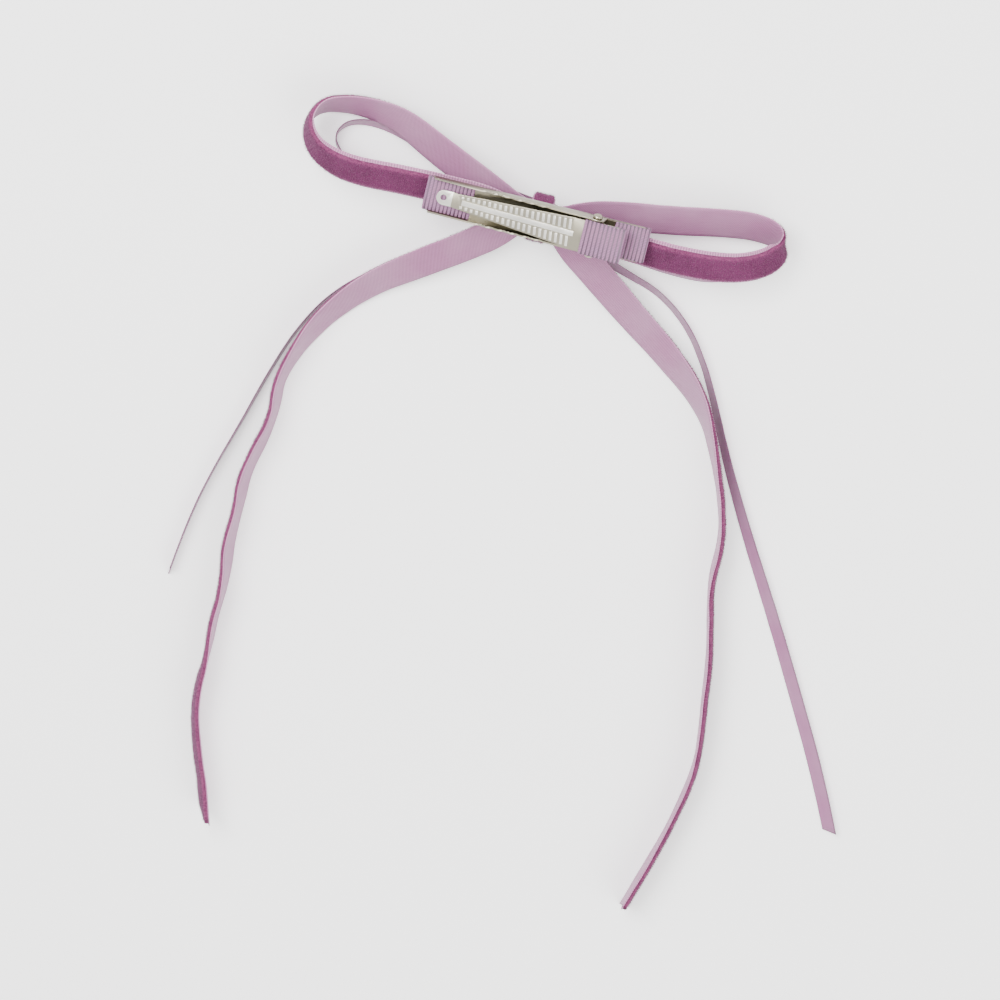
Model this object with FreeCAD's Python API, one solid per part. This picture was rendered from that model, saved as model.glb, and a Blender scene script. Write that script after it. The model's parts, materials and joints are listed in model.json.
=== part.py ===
import FreeCAD, Part
import math
import os

# Hair bow barrette: a sprung, ribbon-lined steel jaw clip with a velvet and satin bow on its back.
# Frame: origin midway along the clip on the plane where the jaws close, +X towards the levers,
# +Y along the hinge pin, +Z towards the toothed jaw. All sizes are in millimetres.

Vec = FreeCAD.Vector

# ---------------------------------------------------------------- driving dimensions
# steel clip
SHEET = 0.45                # thickness of both pressed jaws
BASE_TIP_X = -28.4          # far jaw: tip, end of its lever, width and inner face of its web
BASE_END_X = 27.4
BASE_WIDTH = 9.4
BASE_TOP_Z = -0.75
FLANGE_START_X = -27.4      # flanges of the far jaw rise from the tip to the ears
FLANGE_TIP_Z = 0.75
FLANGE_EAR_Z = 2.3
SCALLOP_START_X = -14.0     # shallow scallops along the flange edges
SCALLOP_PITCH = 3.1
SCALLOP_COUNT = 6
SCALLOP_RADIUS = 1.6
SCALLOP_DEPTH = 0.35
JAW_NOSE_X = -26.0          # toothed jaw: nose, step, widest place, end of its lever
JAW_NOSE_WIDTH = 3.9
JAW_STEP_X = -22.0
JAW_STEP_LENGTH = 1.2
JAW_NOSE_Z = 0.0            # middle of the sheet at the nose
JAW_STEP_RISE = 0.45
JAW_SLOPE_DEG = 5.2
JAW_FULL_X = 9.0
JAW_WIDTH = 8.2
JAW_END_X = 21.6
LEVER_WIDTH = 9.0
NOSE_HOLE_RADIUS = 0.8
NOSE_HOLE_X = -24.2
BAR_START_X = -19.4         # rows of pressed bars, each side of the centre rib
BAR_PITCH = 1.38
BAR_COUNT = 21
BAR_WIDTH = 0.65
BAR_HEIGHT = 0.28
BAR_SLANT_DEG = 7.0
BAR_EDGE = 0.45             # bare margin outside the bars
RIB_WIDTH = 1.3
RIB_HEIGHT = 0.32
RIB_GAP = 0.35              # bare strip between the rib and the bars
BAR_MIN_LENGTH = 0.4

# hinge
PIN_X = 14.5
PIN_Z = 1.1
PIN_RADIUS = 0.8
PIN_HEAD_RADIUS = 1.2
PIN_HEAD_LENGTH = 1.15
EAR_RADIUS = 1.95           # far jaw's ears
EAR_HALF_LENGTH = 2.6
JAW_EAR_RADIUS = 1.55       # toothed jaw's ears
JAW_EAR_HALF_LENGTH = 2.8
RUNNING_CLEARANCE = 0.06    # radial, jaw ears on the pin
SIDE_CLEARANCE = 0.15       # between the two pairs of ears
WIRE_RADIUS = 0.3
COIL_RADIUS = 1.25          # to the middle of the wire
COIL_TURNS = 9
COIL_PITCH = 0.58
COIL_GAP = 0.07             # between the fixed turns and the turn that moves
SPRING_LEG_END_X = 19.0
LEG_SEAT_GAP = 0.04

# grosgrain and glue
GROSGRAIN = 0.4             # thickness
GLUE_FILM = 0.08
LINING_WIDTH = 9.0
LINING_INNER_X = -17.3      # cut end inside the jaw
LINING_OUTER_X = 23.6       # cut end on the outer face
WRAP_WIDTH = 9.2
WRAP_INNER_X = 19.6
WRAP_OUTER_X = 15.8
COVER_WIDTH = 9.2
COVER_START_X = 12.0
COVER_INNER_X = 19.4
LAYER_GAP = 0.03

# bow
BOW_ROOM = 5.89             # depth under the clip, besides a ribbon's width, that the bow takes
VELVET_WIDTH = 10.0
VELVET = 1.0                # woven back and pile together
SATIN_WIDTH = 4.0
SATIN = 0.35
BOW_LEAN_DEG = 65.0         # the ribbon's width leans this far from upright at the knot
GATHERED_WIDTH = 7.6        # the velvet's width inside the knot
KNOT_X = 0.3
KNOT_Y = -1.4
KNOT_LENGTH = 5.8
KNOT_HALF_WIDTH = 5.7       # along the ribbon's width
KNOT_HALF_DEPTH = 4.2
KNOT_CORNER = 2.2
KNOT_WALL = 0.8
KNOT_EDGE = 0.5
PAD_LENGTH = 5.2
PAD_WIDTH = 6.0
PAD_THICKNESS = 1.1
THREAD_RADIUS = 0.2
THREAD_TURNS = 5
THREAD_PITCH = 0.38
THREAD_GAP = 0.12           # between the thread and the band
STRAND_PITCH = 1.12         # between the middles of the velvet strands stacked in the knot
TAIL_LAYER = 2              # velvet layers in the knot, counted from the clip
FRONT_LAYER = 3
SATIN_FRONT_DEPTH = -1.95   # middles of the satin loop's front strand and of the tail, in the knot
SATIN_REAR_DEPTH = -2.5     # middle of the rear strand of each satin loop
SATIN_SLIDE = 2.1           # a satin loop's front end lies this far along the width, its tail as far back
END_GAP = 0.1               # from the knot's middle to each velvet strand's end
SATIN_END_GAP = 1.0         # and to each satin strand's end, which is cut on the slant
SATIN_MOUTH_RUN = 0.6
MOUTH_RUN = 1.6             # strands leave the knot straight for this length
LEFT_FLARE = 0.2            # a loop's upper edge leans back towards the knot by this share of its lean
RIGHT_FLARE = 0.3

# ---------------------------------------------------------------- routes of the ribbons
# Each row is x, y, lean in degrees from upright, and height of the lower edge above the floor.
VELVET_LOOP_LEFT = [
    (-12.0, 0.3, 65, 11.0), (-24.0, 0.4, 65, 10.9), (-36.0, 0.1, 65, 10.8), (-45.0, -0.5, 64, 10.7),
    (-52.5, -0.1, 58, 10.0), (-59.2, 2.4, 48, 7.5), (-62.2, 7.8, 40, 4.5), (-59.5, 12.4, 41, 2.2),
    (-53.0, 14.2, 43, 1.6), (-46.0, 14.4, 49, 1.9), (-38.0, 13.2, 59, 3.3), (-27.5, 8.2, 67, 5.3),
    (-15.0, 3.5, 67, 7.6)]
VELVET_LOOP_RIGHT = [
    (13.0, -2.2, 65, 10.7), (24.0, -2.9, 65, 10.5), (35.0, -3.3, 65, 10.4), (46.0, -3.0, 65, 10.0),
    (55.5, -1.0, 64, 8.4), (61.6, 3.4, 62, 5.6), (60.4, 7.6, 62, 3.4), (53.0, 8.5, 62, 2.5),
    (43.0, 6.8, 62, 2.6), (32.0, 4.8, 63, 3.6), (21.0, 3.5, 64, 5.0), (12.0, 1.9, 65, 6.8)]
VELVET_TAIL_LEFT = [
    (-9.4, -8.4, 64, 6.2), (-17.0, -15.0, 62, 4.6), (-26.5, -22.4, 60, 2.6), (-38.2, -31.6, 50, 0.8),
    (-46.8, -42.4, 38, 0.0), (-51.6, -52.6, 22, 0.0), (-54.4, -62.6, 11, 0.0), (-53.6, -71.0, 7, 0.0),
    (-55.4, -80.6, 17, 0.0), (-57.4, -89.0, 14, 0.0), (-57.0, -98.0, 8, 0.0), (-57.6, -108.0, 12, 0.0),
    (-56.0, -119.0, 5, 0.0), (-56.6, -131.0, 4, 0.0), (-55.9, -141.0, 1, 0.0), (-56.6, -150.0, -3, 0.0),
    (-55.4, -158.6, -7, 0.0), (-52.6, -168.0, -9, 0.0), (-49.4, -176.6, -10, 0.0), (-47.7, -183.0, -9, 0.0)]
VELVET_TAIL_RIGHT = [
    (10.0, -7.6, 68, 5.4), (18.4, -14.4, 68, 3.4), (28.6, -22.6, 63, 1.4), (39.8, -30.8, 57, 0.4),
    (48.8, -38.4, 42, 0.0), (54.6, -46.4, 23, 0.0), (58.9, -56.4, 15, 0.0), (62.6, -66.0, 13, 0.0),
    (65.2, -76.0, 10, 0.0), (64.8, -87.0, 9, 0.0), (67.2, -97.6, 14, 0.0), (69.6, -108.0, 10, 0.0),
    (70.8, -118.0, 8, 0.0), (72.4, -128.6, 10, 0.0), (73.2, -139.0, 4, 0.0), (71.6, -150.0, 2, 0.0),
    (69.6, -160.0, -1, 0.0), (67.0, -170.0, 0, 0.0), (64.1, -180.2, -2, 0.0)]
SATIN_LOOP_LEFT = [
    (-14.0, -3.4, 50, 2.4), (-27.0, -5.0, 38, 0.6), (-40.0, -5.0, 30, 0.0), (-50.4, -2.2, 30, 0.3),
    (-55.2, 3.4, 30, 0.4), (-52.2, 8.6, 34, 0.4), (-44.0, 9.6, 42, 0.0), (-34.0, 7.0, 52, 0.0),
    (-23.0, 3.4, 56, 0.4), (-13.0, 0.6, 60, 2.6)]
SATIN_LOOP_RIGHT = [
    (13.0, -5.6, 50, 2.4), (24.0, -8.8, 42, 0.8), (35.0, -10.2, 36, 0.0), (45.0, -10.0, 34, 0.3),
    (51.0, -7.6, 34, 0.4), (50.0, -4.6, 34, 0.4), (43.0, -3.8, 36, 0.0), (33.0, -4.4, 44, 0.2),
    (22.0, -4.2, 54, 1.2), (13.0, -2.6, 60, 3.0)]
SATIN_TAIL_LEFT = [
    (-11.5, -9.8, 54, 3.6), (-23.0, -18.4, 42, 1.4), (-35.0, -26.6, 28, 0.3), (-45.8, -36.0, 18, 0.0),
    (-52.6, -47.6, 14, 0.0), (-57.2, -61.0, 12, 0.0), (-61.2, -76.0, 10, 0.0), (-66.0, -92.0, 7, 0.0),
    (-69.2, -107.0, 4, 0.0), (-70.8, -121.0, 2, 0.0)]
SATIN_TAIL_RIGHT = [
    (12.5, -7.6, 54, 3.4), (23.2, -12.3, 44, 1.8), (34.2, -15.8, 36, 0.4),
    (43.2, -22.8, 32, 0.0), (50.0, -32.2, 30, 0.0), (55.6, -43.2, 32, 0.0), (61.8, -56.4, 40, 0.0),
    (71.4, -74.2, 50, 0.0), (83.0, -94.0, 58, 0.0), (94.4, -114.6, 62, 0.0), (105.0, -134.2, 64, 0.0),
    (111.3, -147.9, 60, 0.0)]
BEND_STEPS = 5              # samples along each bend of a ribbon

# ---------------------------------------------------------------- worked out from the sizes above
HALF_BASE = BASE_WIDTH / 2
BASE_OUTER_Z = BASE_TOP_Z - SHEET
LINING_OUTER_Z = BASE_OUTER_Z - GLUE_FILM - GROSGRAIN
# surface that the bow lies on, under the ribbon round the far lever
FLOOR_Z = LINING_OUTER_Z - LAYER_GAP - GROSGRAIN - BOW_ROOM - VELVET_WIDTH
JAW_HALF = JAW_WIDTH / 2
JAW_EAR_OUTER_Y = HALF_BASE - SHEET - SIDE_CLEARANCE
BOW_LEAN = math.radians(BOW_LEAN_DEG)
BOW_WIDTH_AXIS = Vec(0, math.sin(BOW_LEAN), math.cos(BOW_LEAN))
BOW_DEPTH_AXIS = Vec(0, -math.cos(BOW_LEAN), math.sin(BOW_LEAN))


def jaw_middle_z(x):
    """Height of the middle of the toothed jaw's sheet at x."""
    step_end = JAW_STEP_X + JAW_STEP_LENGTH
    if x <= JAW_STEP_X:
        return JAW_NOSE_Z
    if x < step_end:
        return JAW_NOSE_Z + JAW_STEP_RISE * (x - JAW_STEP_X) / JAW_STEP_LENGTH
    return JAW_NOSE_Z + JAW_STEP_RISE + (x - step_end) * math.tan(math.radians(JAW_SLOPE_DEG))


def jaw_half_width(x):
    """Half the width of the toothed jaw's plate, which tapers towards the nose."""
    step_end = JAW_STEP_X + JAW_STEP_LENGTH
    share = min(max((x - step_end) / (JAW_FULL_X - step_end), 0.0), 1.0)
    return JAW_NOSE_WIDTH / 2 + share * (JAW_HALF - JAW_NOSE_WIDTH / 2)


def box(x0, x1, y0, y1, z0, z1):
    return Part.makeBox(x1 - x0, y1 - y0, z1 - z0, Vec(x0, y0, z0))


def cylinder_along_y(radius, x, z, y0, y1):
    return Part.makeCylinder(radius, y1 - y0, Vec(x, y0, z), Vec(0, 1, 0))


def side_plate(points, y0, y1):
    """A plate with an outline in the XZ plane, between two values of y."""
    corners = [Vec(x, y0, z) for x, z in points]
    face = Part.Face(Part.makePolygon(corners + corners[:1]))
    return face.extrude(Vec(0, y1 - y0, 0))


def bent_strip(middle, thickness, width):
    """A strip whose middle line is in the XZ plane, centred on y = 0."""
    above, below = [], []
    for i, (x, z) in enumerate(middle):
        before = middle[max(i - 1, 0)]
        after = middle[min(i + 1, len(middle) - 1)]
        run = math.hypot(after[0] - before[0], after[1] - before[1])
        nx, nz = -(after[1] - before[1]) / run, (after[0] - before[0]) / run
        above.append((x + nx * thickness / 2, z + nz * thickness / 2))
        below.append((x - nx * thickness / 2, z - nz * thickness / 2))
    return side_plate(above + below[::-1], -width / 2, width / 2)


def hairpin(x_inner, x_outer, x_turn, core_bottom, core_top, thickness):
    """Middle line of a ribbon that is folded round the end of a flat core."""
    middle_z = (core_bottom + core_top) / 2
    radius = (core_top - core_bottom) / 2 + thickness / 2
    way = 1 if x_turn > x_inner else -1
    line = [(x_inner, middle_z + radius)]
    for k in range(9):
        angle = math.pi / 2 - math.pi * k / 8
        line.append((x_turn + way * radius * math.cos(angle), middle_z + radius * math.sin(angle)))
    line.append((x_outer, middle_z - radius))
    return line


# ---------------------------------------------------------------- steel clip
def flange_outline():
    """Outline in XZ of one flange of the far jaw, with its hinge ear."""
    ear = [(PIN_X + EAR_RADIUS * math.cos(a), PIN_Z + EAR_RADIUS * math.sin(a))
           for a in (math.radians(d) for d in (120, 90, 60, 30, 0))]
    return ([(FLANGE_START_X, BASE_OUTER_Z), (FLANGE_START_X, FLANGE_TIP_Z),
             (PIN_X - EAR_HALF_LENGTH, FLANGE_EAR_Z)]
            + ear + [(PIN_X + EAR_HALF_LENGTH, BASE_OUTER_Z)])


def flange_top_z(x):
    share = (x - FLANGE_START_X) / (PIN_X - EAR_HALF_LENGTH - FLANGE_START_X)
    return FLANGE_TIP_Z + share * (FLANGE_EAR_Z - FLANGE_TIP_Z)


def make_base_jaw():
    web = box(BASE_TIP_X, BASE_END_X, -HALF_BASE, HALF_BASE, BASE_OUTER_Z, BASE_TOP_Z)
    corners = [e for e in web.Edges
               if e.Vertexes[0].X == e.Vertexes[1].X and e.Vertexes[0].Y == e.Vertexes[1].Y]
    web = web.makeFillet(HALF_BASE / 4, corners)
    sides = [side_plate(flange_outline(), -HALF_BASE, -HALF_BASE + SHEET),
             side_plate(flange_outline(), HALF_BASE - SHEET, HALF_BASE)]
    jaw = web.fuse(sides)
    cuts = [cylinder_along_y(PIN_RADIUS, PIN_X, PIN_Z, -HALF_BASE, HALF_BASE)]
    for i in range(SCALLOP_COUNT):
        x = SCALLOP_START_X + i * SCALLOP_PITCH
        z = flange_top_z(x) + SCALLOP_RADIUS - SCALLOP_DEPTH
        cuts.append(cylinder_along_y(SCALLOP_RADIUS, x, z, -HALF_BASE, HALF_BASE))
    return jaw.cut(cuts).removeSplitter()


def jaw_plan():
    """Outline in XY of the toothed jaw's plate, as a tall solid to trim its bent strip with."""
    nose = JAW_NOSE_WIDTH / 2
    lever = LEVER_WIDTH / 2
    centre_x = JAW_NOSE_X + nose
    corner = lever / 4
    upper = [(centre_x, nose), (JAW_STEP_X + JAW_STEP_LENGTH, nose), (JAW_FULL_X, JAW_HALF),
             (PIN_X + JAW_EAR_HALF_LENGTH, JAW_HALF), (PIN_X + JAW_EAR_HALF_LENGTH, lever),
             (JAW_END_X - corner, lever), (JAW_END_X, lever - corner)]
    points = [Vec(x, y, BASE_OUTER_Z) for x, y in upper]
    points += [Vec(p.x, -p.y, p.z) for p in reversed(points)]
    edges = [Part.makeLine(a, b) for a, b in zip(points, points[1:])]
    tip = Part.Arc(points[-1], Vec(JAW_NOSE_X, 0, BASE_OUTER_Z), points[0])
    face = Part.Face(Part.Wire(edges + [tip.toShape()]))
    return face.extrude(Vec(0, 0, jaw_middle_z(JAW_END_X) - BASE_OUTER_Z + SHEET))


def raised_bar(x, y0, y1, width, height, turn_deg):
    """A bar pressed up out of the sloping plate, from inside the sheet to its height above it."""
    length = y1 - y0
    bar = box(-width / 2, width / 2, -length / 2, length / 2, 0, SHEET / 2 + height)
    bar.rotate(Vec(0, 0, 0), Vec(0, 0, 1), turn_deg)
    bar.rotate(Vec(0, 0, 0), Vec(0, 1, 0), -JAW_SLOPE_DEG)
    bar.translate(Vec(x, (y0 + y1) / 2, jaw_middle_z(x)))
    return bar


def make_toothed_jaw():
    line = [(x, jaw_middle_z(x)) for x in
            (JAW_NOSE_X, JAW_STEP_X, JAW_STEP_X + JAW_STEP_LENGTH, JAW_END_X)]
    plate = bent_strip(line, SHEET, LEVER_WIDTH).common(jaw_plan())
    ear_top = [(x, jaw_middle_z(x)) for x in (PIN_X + JAW_EAR_HALF_LENGTH, PIN_X - JAW_EAR_HALF_LENGTH)]
    ear_round = [(PIN_X + JAW_EAR_RADIUS * math.cos(a), PIN_Z + JAW_EAR_RADIUS * math.sin(a))
                 for a in (math.radians(d) for d in range(180, 361, 20))]
    added = [side_plate(ear_top + ear_round, JAW_EAR_OUTER_Y - SHEET, JAW_EAR_OUTER_Y),
             side_plate(ear_top + ear_round, -JAW_EAR_OUTER_Y, -JAW_EAR_OUTER_Y + SHEET)]
    rib_end_x = BAR_START_X + BAR_COUNT * BAR_PITCH
    rib = box(0, rib_end_x - BAR_START_X, -RIB_WIDTH / 2, RIB_WIDTH / 2, 0, SHEET / 2 + RIB_HEIGHT)
    rib.rotate(Vec(0, 0, 0), Vec(0, 1, 0), -JAW_SLOPE_DEG)
    rib.translate(Vec(BAR_START_X, 0, jaw_middle_z(BAR_START_X)))
    added.append(rib)
    inner_y = RIB_WIDTH / 2 + RIB_GAP
    for i in range(BAR_COUNT):
        x = BAR_START_X + i * BAR_PITCH
        outer_y = jaw_half_width(x) - BAR_EDGE
        if outer_y - inner_y >= BAR_MIN_LENGTH:
            added.append(raised_bar(x, inner_y, outer_y, BAR_WIDTH, BAR_HEIGHT, BAR_SLANT_DEG))
            added.append(raised_bar(x, -outer_y, -inner_y, BAR_WIDTH, BAR_HEIGHT, BAR_SLANT_DEG))
    bore = cylinder_along_y(PIN_RADIUS + RUNNING_CLEARANCE, PIN_X, PIN_Z, -HALF_BASE, HALF_BASE)
    hole = Part.makeCylinder(NOSE_HOLE_RADIUS, 4 * SHEET, Vec(NOSE_HOLE_X, 0, JAW_NOSE_Z - 2 * SHEET))
    return plate.fuse(added).cut([bore, hole])


def make_hinge_pin():
    shaft = cylinder_along_y(PIN_RADIUS, PIN_X, PIN_Z, -HALF_BASE, HALF_BASE)
    heads = [cylinder_along_y(PIN_HEAD_RADIUS, PIN_X, PIN_Z, HALF_BASE, HALF_BASE + PIN_HEAD_LENGTH),
             cylinder_along_y(PIN_HEAD_RADIUS, PIN_X, PIN_Z, -HALF_BASE - PIN_HEAD_LENGTH, -HALF_BASE)]
    rims = []
    for head in heads:
        outer = max(head.Edges, key=lambda e: abs(e.CenterOfMass.y))
        rims.append(head.makeFillet(PIN_HEAD_LENGTH / 2, [outer]))
    return shaft.fuse(rims)


def spring_turn(y):
    return Part.makeTorus(COIL_RADIUS, WIRE_RADIUS, Vec(PIN_X, y, PIN_Z), Vec(0, 1, 0))


def spring_wire(start, end):
    run = end.sub(start)
    return Part.makeCylinder(WIRE_RADIUS, run.Length, start, run)


COIL_HALF = COIL_PITCH * (COIL_TURNS - 1) / 2
MOVING_TURN_Y = COIL_HALF + 2 * WIRE_RADIUS + COIL_GAP


def make_spring_coil():
    turns = [spring_turn(-COIL_HALF + i * COIL_PITCH) for i in range(COIL_TURNS)]
    leg = spring_wire(Vec(PIN_X, -COIL_HALF, PIN_Z - COIL_RADIUS),
                      Vec(SPRING_LEG_END_X, -COIL_HALF, BASE_TOP_Z + WIRE_RADIUS + LEG_SEAT_GAP))
    return turns[0].fuse(turns[1:] + [leg])


def make_spring_leg():
    seat_z = jaw_middle_z(SPRING_LEG_END_X) - SHEET / 2 - WIRE_RADIUS - LEG_SEAT_GAP
    leg = spring_wire(Vec(PIN_X, MOVING_TURN_Y, PIN_Z + COIL_RADIUS),
                      Vec(SPRING_LEG_END_X, MOVING_TURN_Y, seat_z))
    return spring_turn(MOVING_TURN_Y).fuse(leg)


# ---------------------------------------------------------------- ribbons on the clip
def make_jaw_lining():
    layer = GROSGRAIN
    line = hairpin(LINING_INNER_X, LINING_OUTER_X, BASE_TIP_X, BASE_OUTER_Z - GLUE_FILM, BASE_TOP_Z, layer)
    strip = bent_strip(line, layer, LINING_WIDTH)
    inner_half = HALF_BASE - SHEET - LAYER_GAP
    trims = [box(FLANGE_START_X - LAYER_GAP, LINING_INNER_X + layer, y0, y1,
                 BASE_TOP_Z - SHEET / 2, BASE_TOP_Z + 2 * layer)
             for y0, y1 in ((inner_half, HALF_BASE), (-HALF_BASE, -inner_half))]
    return strip.cut(trims)


def make_lining_glue_film():
    half = LINING_WIDTH / 2 - SHEET
    return box(BASE_TIP_X + SHEET, LINING_OUTER_X - SHEET, -half, half,
               BASE_OUTER_Z - GLUE_FILM, BASE_OUTER_Z)


def make_lever_wrap():
    line = hairpin(WRAP_INNER_X, WRAP_OUTER_X, BASE_END_X, LINING_OUTER_Z - LAYER_GAP,
                   BASE_TOP_Z + LAYER_GAP, GROSGRAIN)
    return bent_strip(line, GROSGRAIN, WRAP_WIDTH)


def make_lever_cover():
    slope = math.tan(math.radians(JAW_SLOPE_DEG))
    offset = SHEET / 2 + LAYER_GAP + GROSGRAIN / 2
    end_z = jaw_middle_z(JAW_END_X)
    line = [(COVER_START_X, jaw_middle_z(COVER_START_X) + offset)]
    for k in range(9):
        angle = math.pi / 2 - math.pi * k / 8
        line.append((JAW_END_X + offset * math.cos(angle), end_z + offset * math.sin(angle)))
    line.append((COVER_INNER_X, end_z - offset - (JAW_END_X - COVER_INNER_X) * slope))
    return bent_strip(line, GROSGRAIN, COVER_WIDTH)


# ---------------------------------------------------------------- knot
def rounded_frame(half_width, half_depth, corner, x):
    """A rounded rectangle round the gathered strands, square to X at x."""
    w, d, r = half_width, half_depth, corner
    middle = Vec(x, KNOT_Y, KNOT_Z)

    def at(a, b):
        return middle + BOW_WIDTH_AXIS * a + BOW_DEPTH_AXIS * b

    edges = []
    start = at(w - r, d)
    cut = r * (1 - math.sqrt(0.5))
    for sx, sy, ex, ey, mx, my in ((w, d - r, w, -d + r, w - cut, d - cut),
                                   (w - r, -d, -w + r, -d, w - cut, -d + cut),
                                   (-w, -d + r, -w, d - r, -w + cut, -d + cut),
                                   (-w + r, d, w - r, d, -w + cut, d - cut)):
        edges.append(Part.Arc(start, at(mx, my), at(sx, sy)).toShape())
        edges.append(Part.makeLine(at(sx, sy), at(ex, ey)))
        start = at(ex, ey)
    return Part.Wire(edges)


def knot_reach_z():
    """How far the band reaches above its middle."""
    straight_w, straight_d = KNOT_HALF_WIDTH - KNOT_CORNER, KNOT_HALF_DEPTH - KNOT_CORNER
    return straight_w * math.cos(BOW_LEAN) + straight_d * math.sin(BOW_LEAN) + KNOT_CORNER


KNOT_Z = LINING_OUTER_Z - LAYER_GAP - knot_reach_z()
KNOT_START_X = KNOT_X - KNOT_LENGTH / 2
KNOT_END_X = KNOT_X + KNOT_LENGTH / 2


def frame_solid(half_width, half_depth, corner, x0, x1):
    face = Part.Face(rounded_frame(half_width, half_depth, corner, x0))
    return face.extrude(Vec(x1 - x0, 0, 0))


def make_knot_band():
    outer = frame_solid(KNOT_HALF_WIDTH, KNOT_HALF_DEPTH, KNOT_CORNER, KNOT_START_X, KNOT_END_X)
    rims = [e for e in outer.Edges
            if abs(e.BoundBox.XMin - e.BoundBox.XMax) < 1e-6]
    outer = outer.makeFillet(KNOT_EDGE, rims)
    inner = frame_solid(KNOT_HALF_WIDTH - KNOT_WALL, KNOT_HALF_DEPTH - KNOT_WALL, KNOT_CORNER - KNOT_WALL,
                        KNOT_START_X, KNOT_END_X)
    return outer.cut(inner)


def make_binding_thread():
    inset = KNOT_WALL + THREAD_GAP + THREAD_RADIUS
    half_run = THREAD_PITCH * (THREAD_TURNS - 1) / 2
    turns = []
    for i in range(THREAD_TURNS):
        x = KNOT_X - half_run + i * THREAD_PITCH
        path = rounded_frame(KNOT_HALF_WIDTH - inset, KNOT_HALF_DEPTH - inset, KNOT_CORNER - inset, x)
        first = path.Vertexes[0].Point
        ring = Part.Wire(Part.makeCircle(THREAD_RADIUS, first, path.Edges[0].tangentAt(
            path.Edges[0].FirstParameter)))
        turns.append(path.makePipeShell([ring], True, True))
    return turns[0].fuse(turns[1:])


def make_glue_pad(band):
    pad = box(KNOT_X - PAD_LENGTH / 2, KNOT_X + PAD_LENGTH / 2,
              KNOT_Y - PAD_WIDTH / 2, KNOT_Y + PAD_WIDTH / 2,
              LINING_OUTER_Z - PAD_THICKNESS, LINING_OUTER_Z)
    upright = [e for e in pad.Edges if abs(e.Vertexes[0].Z - e.Vertexes[1].Z) > PAD_THICKNESS / 2]
    solid_band = frame_solid(KNOT_HALF_WIDTH, KNOT_HALF_DEPTH, KNOT_CORNER, KNOT_START_X, KNOT_END_X)
    return pad.makeFillet(PAD_WIDTH / 4, upright).cut(solid_band.fuse(band))


# ---------------------------------------------------------------- ribbons of the bow
def strand_place(x, depth, slide, width):
    """A place in the knot, so far through its depth towards the clip and so far along its width."""
    point = Vec(x, KNOT_Y, KNOT_Z) + BOW_DEPTH_AXIS * depth + BOW_WIDTH_AXIS * slide
    return point, BOW_LEAN_DEG, width


def strand_end(way, depth):
    """The gathered end of a velvet strand that leaves the knot to the left (-1) or right (1)."""
    mouth_x = KNOT_X + way * (KNOT_LENGTH / 2 + MOUTH_RUN)
    return [strand_place(KNOT_X + way * END_GAP, depth, 0, GATHERED_WIDTH),
            strand_place(mouth_x, depth, 0, GATHERED_WIDTH)]


def route_rows(rows, width, thickness):
    """Middle point, lean and width at each row of a route."""
    places = []
    for x, y, lean, lift in rows:
        angle = math.radians(lean)
        z = FLOOR_Z + lift + width / 2 * math.cos(angle) + thickness / 2 * math.sin(angle)
        places.append((Vec(x, y, z), lean, width))
    return places


def rounded_places(places):
    """Straight runs joined by tangent arcs, sampled; returns the places and the arcs' radii."""
    out = [places[0]]
    radii = []
    for (a, lean_a, wide_a), (b, lean_b, wide_b), (c, lean_c, wide_c) in zip(places, places[1:], places[2:]):
        into, away = b.sub(a), c.sub(b)
        run = 0.45 * min(into.Length, away.Length)
        turn = into.getAngle(away)
        radii.append(run / math.tan(turn / 2))
        start = b.sub(Vec(into).normalize() * run)
        end = b.add(Vec(away).normalize() * run)
        share_in, share_out = run / into.Length, run / away.Length
        for k in range(BEND_STEPS):
            t = k / (BEND_STEPS - 1)
            before, after = (1 - t) ** 2 * share_in, t ** 2 * share_out
            lean = lean_b + before * (lean_a - lean_b) + after * (lean_c - lean_b)
            wide = wide_b + before * (wide_a - wide_b) + after * (wide_c - wide_b)
            out.append((arc_point(start, b, end, turn, t), lean, wide))
    out.append(places[-1])
    return out, radii


def arc_point(start, corner, end, turn, t):
    """A point at share t of the arc that touches both runs at start and end."""
    radius = start.sub(corner).Length / math.tan(turn / 2)
    inward = start.add(end) * 0.5 - corner
    centre = corner + Vec(inward).normalize() * (radius / math.cos(turn / 2))
    from_centre = start.sub(centre)
    axis = from_centre.cross(end.sub(centre)).normalize()
    rotation = FreeCAD.Rotation(axis, math.degrees(turn * t))
    return centre + rotation.multVec(from_centre)


def level_direction(along, side, loop_lean):
    """The level direction that a ribbon leans towards: square to its run, or one way all round a loop."""
    if loop_lean is not None:
        return Vec(loop_lean).normalize()
    return Vec(along.y, -along.x, 0).normalize() * side


def ribbon_solid(places, thickness, side=1, loop_lean=None):
    """A flat ribbon along a route. side is 1 where a lean tips the ribbon's upper edge to the right
    of its run and -1 where it tips it to the left. In a loop, loop_lean is the way it tips."""
    samples, radii = rounded_places(places)
    sections = []
    for i, (point, lean, width) in enumerate(samples):
        before = samples[max(i - 1, 0)][0]
        after = samples[min(i + 1, len(samples) - 1)][0]
        along = after.sub(before).normalize()
        angle = math.radians(lean)
        across = Vec(0, 0, 1) * math.cos(angle) + level_direction(along, side, loop_lean) * math.sin(angle)
        across = across.sub(along * across.dot(along)).normalize()
        through = along.cross(across)
        corners = [point + across * (a * width / 2) + through * (b * thickness / 2)
                   for a, b in ((1, 1), (1, -1), (-1, -1), (-1, 1))]
        sections.append(Part.makePolygon(corners + corners[:1]))
    return Part.makeLoft(sections, True, True), radii


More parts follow.
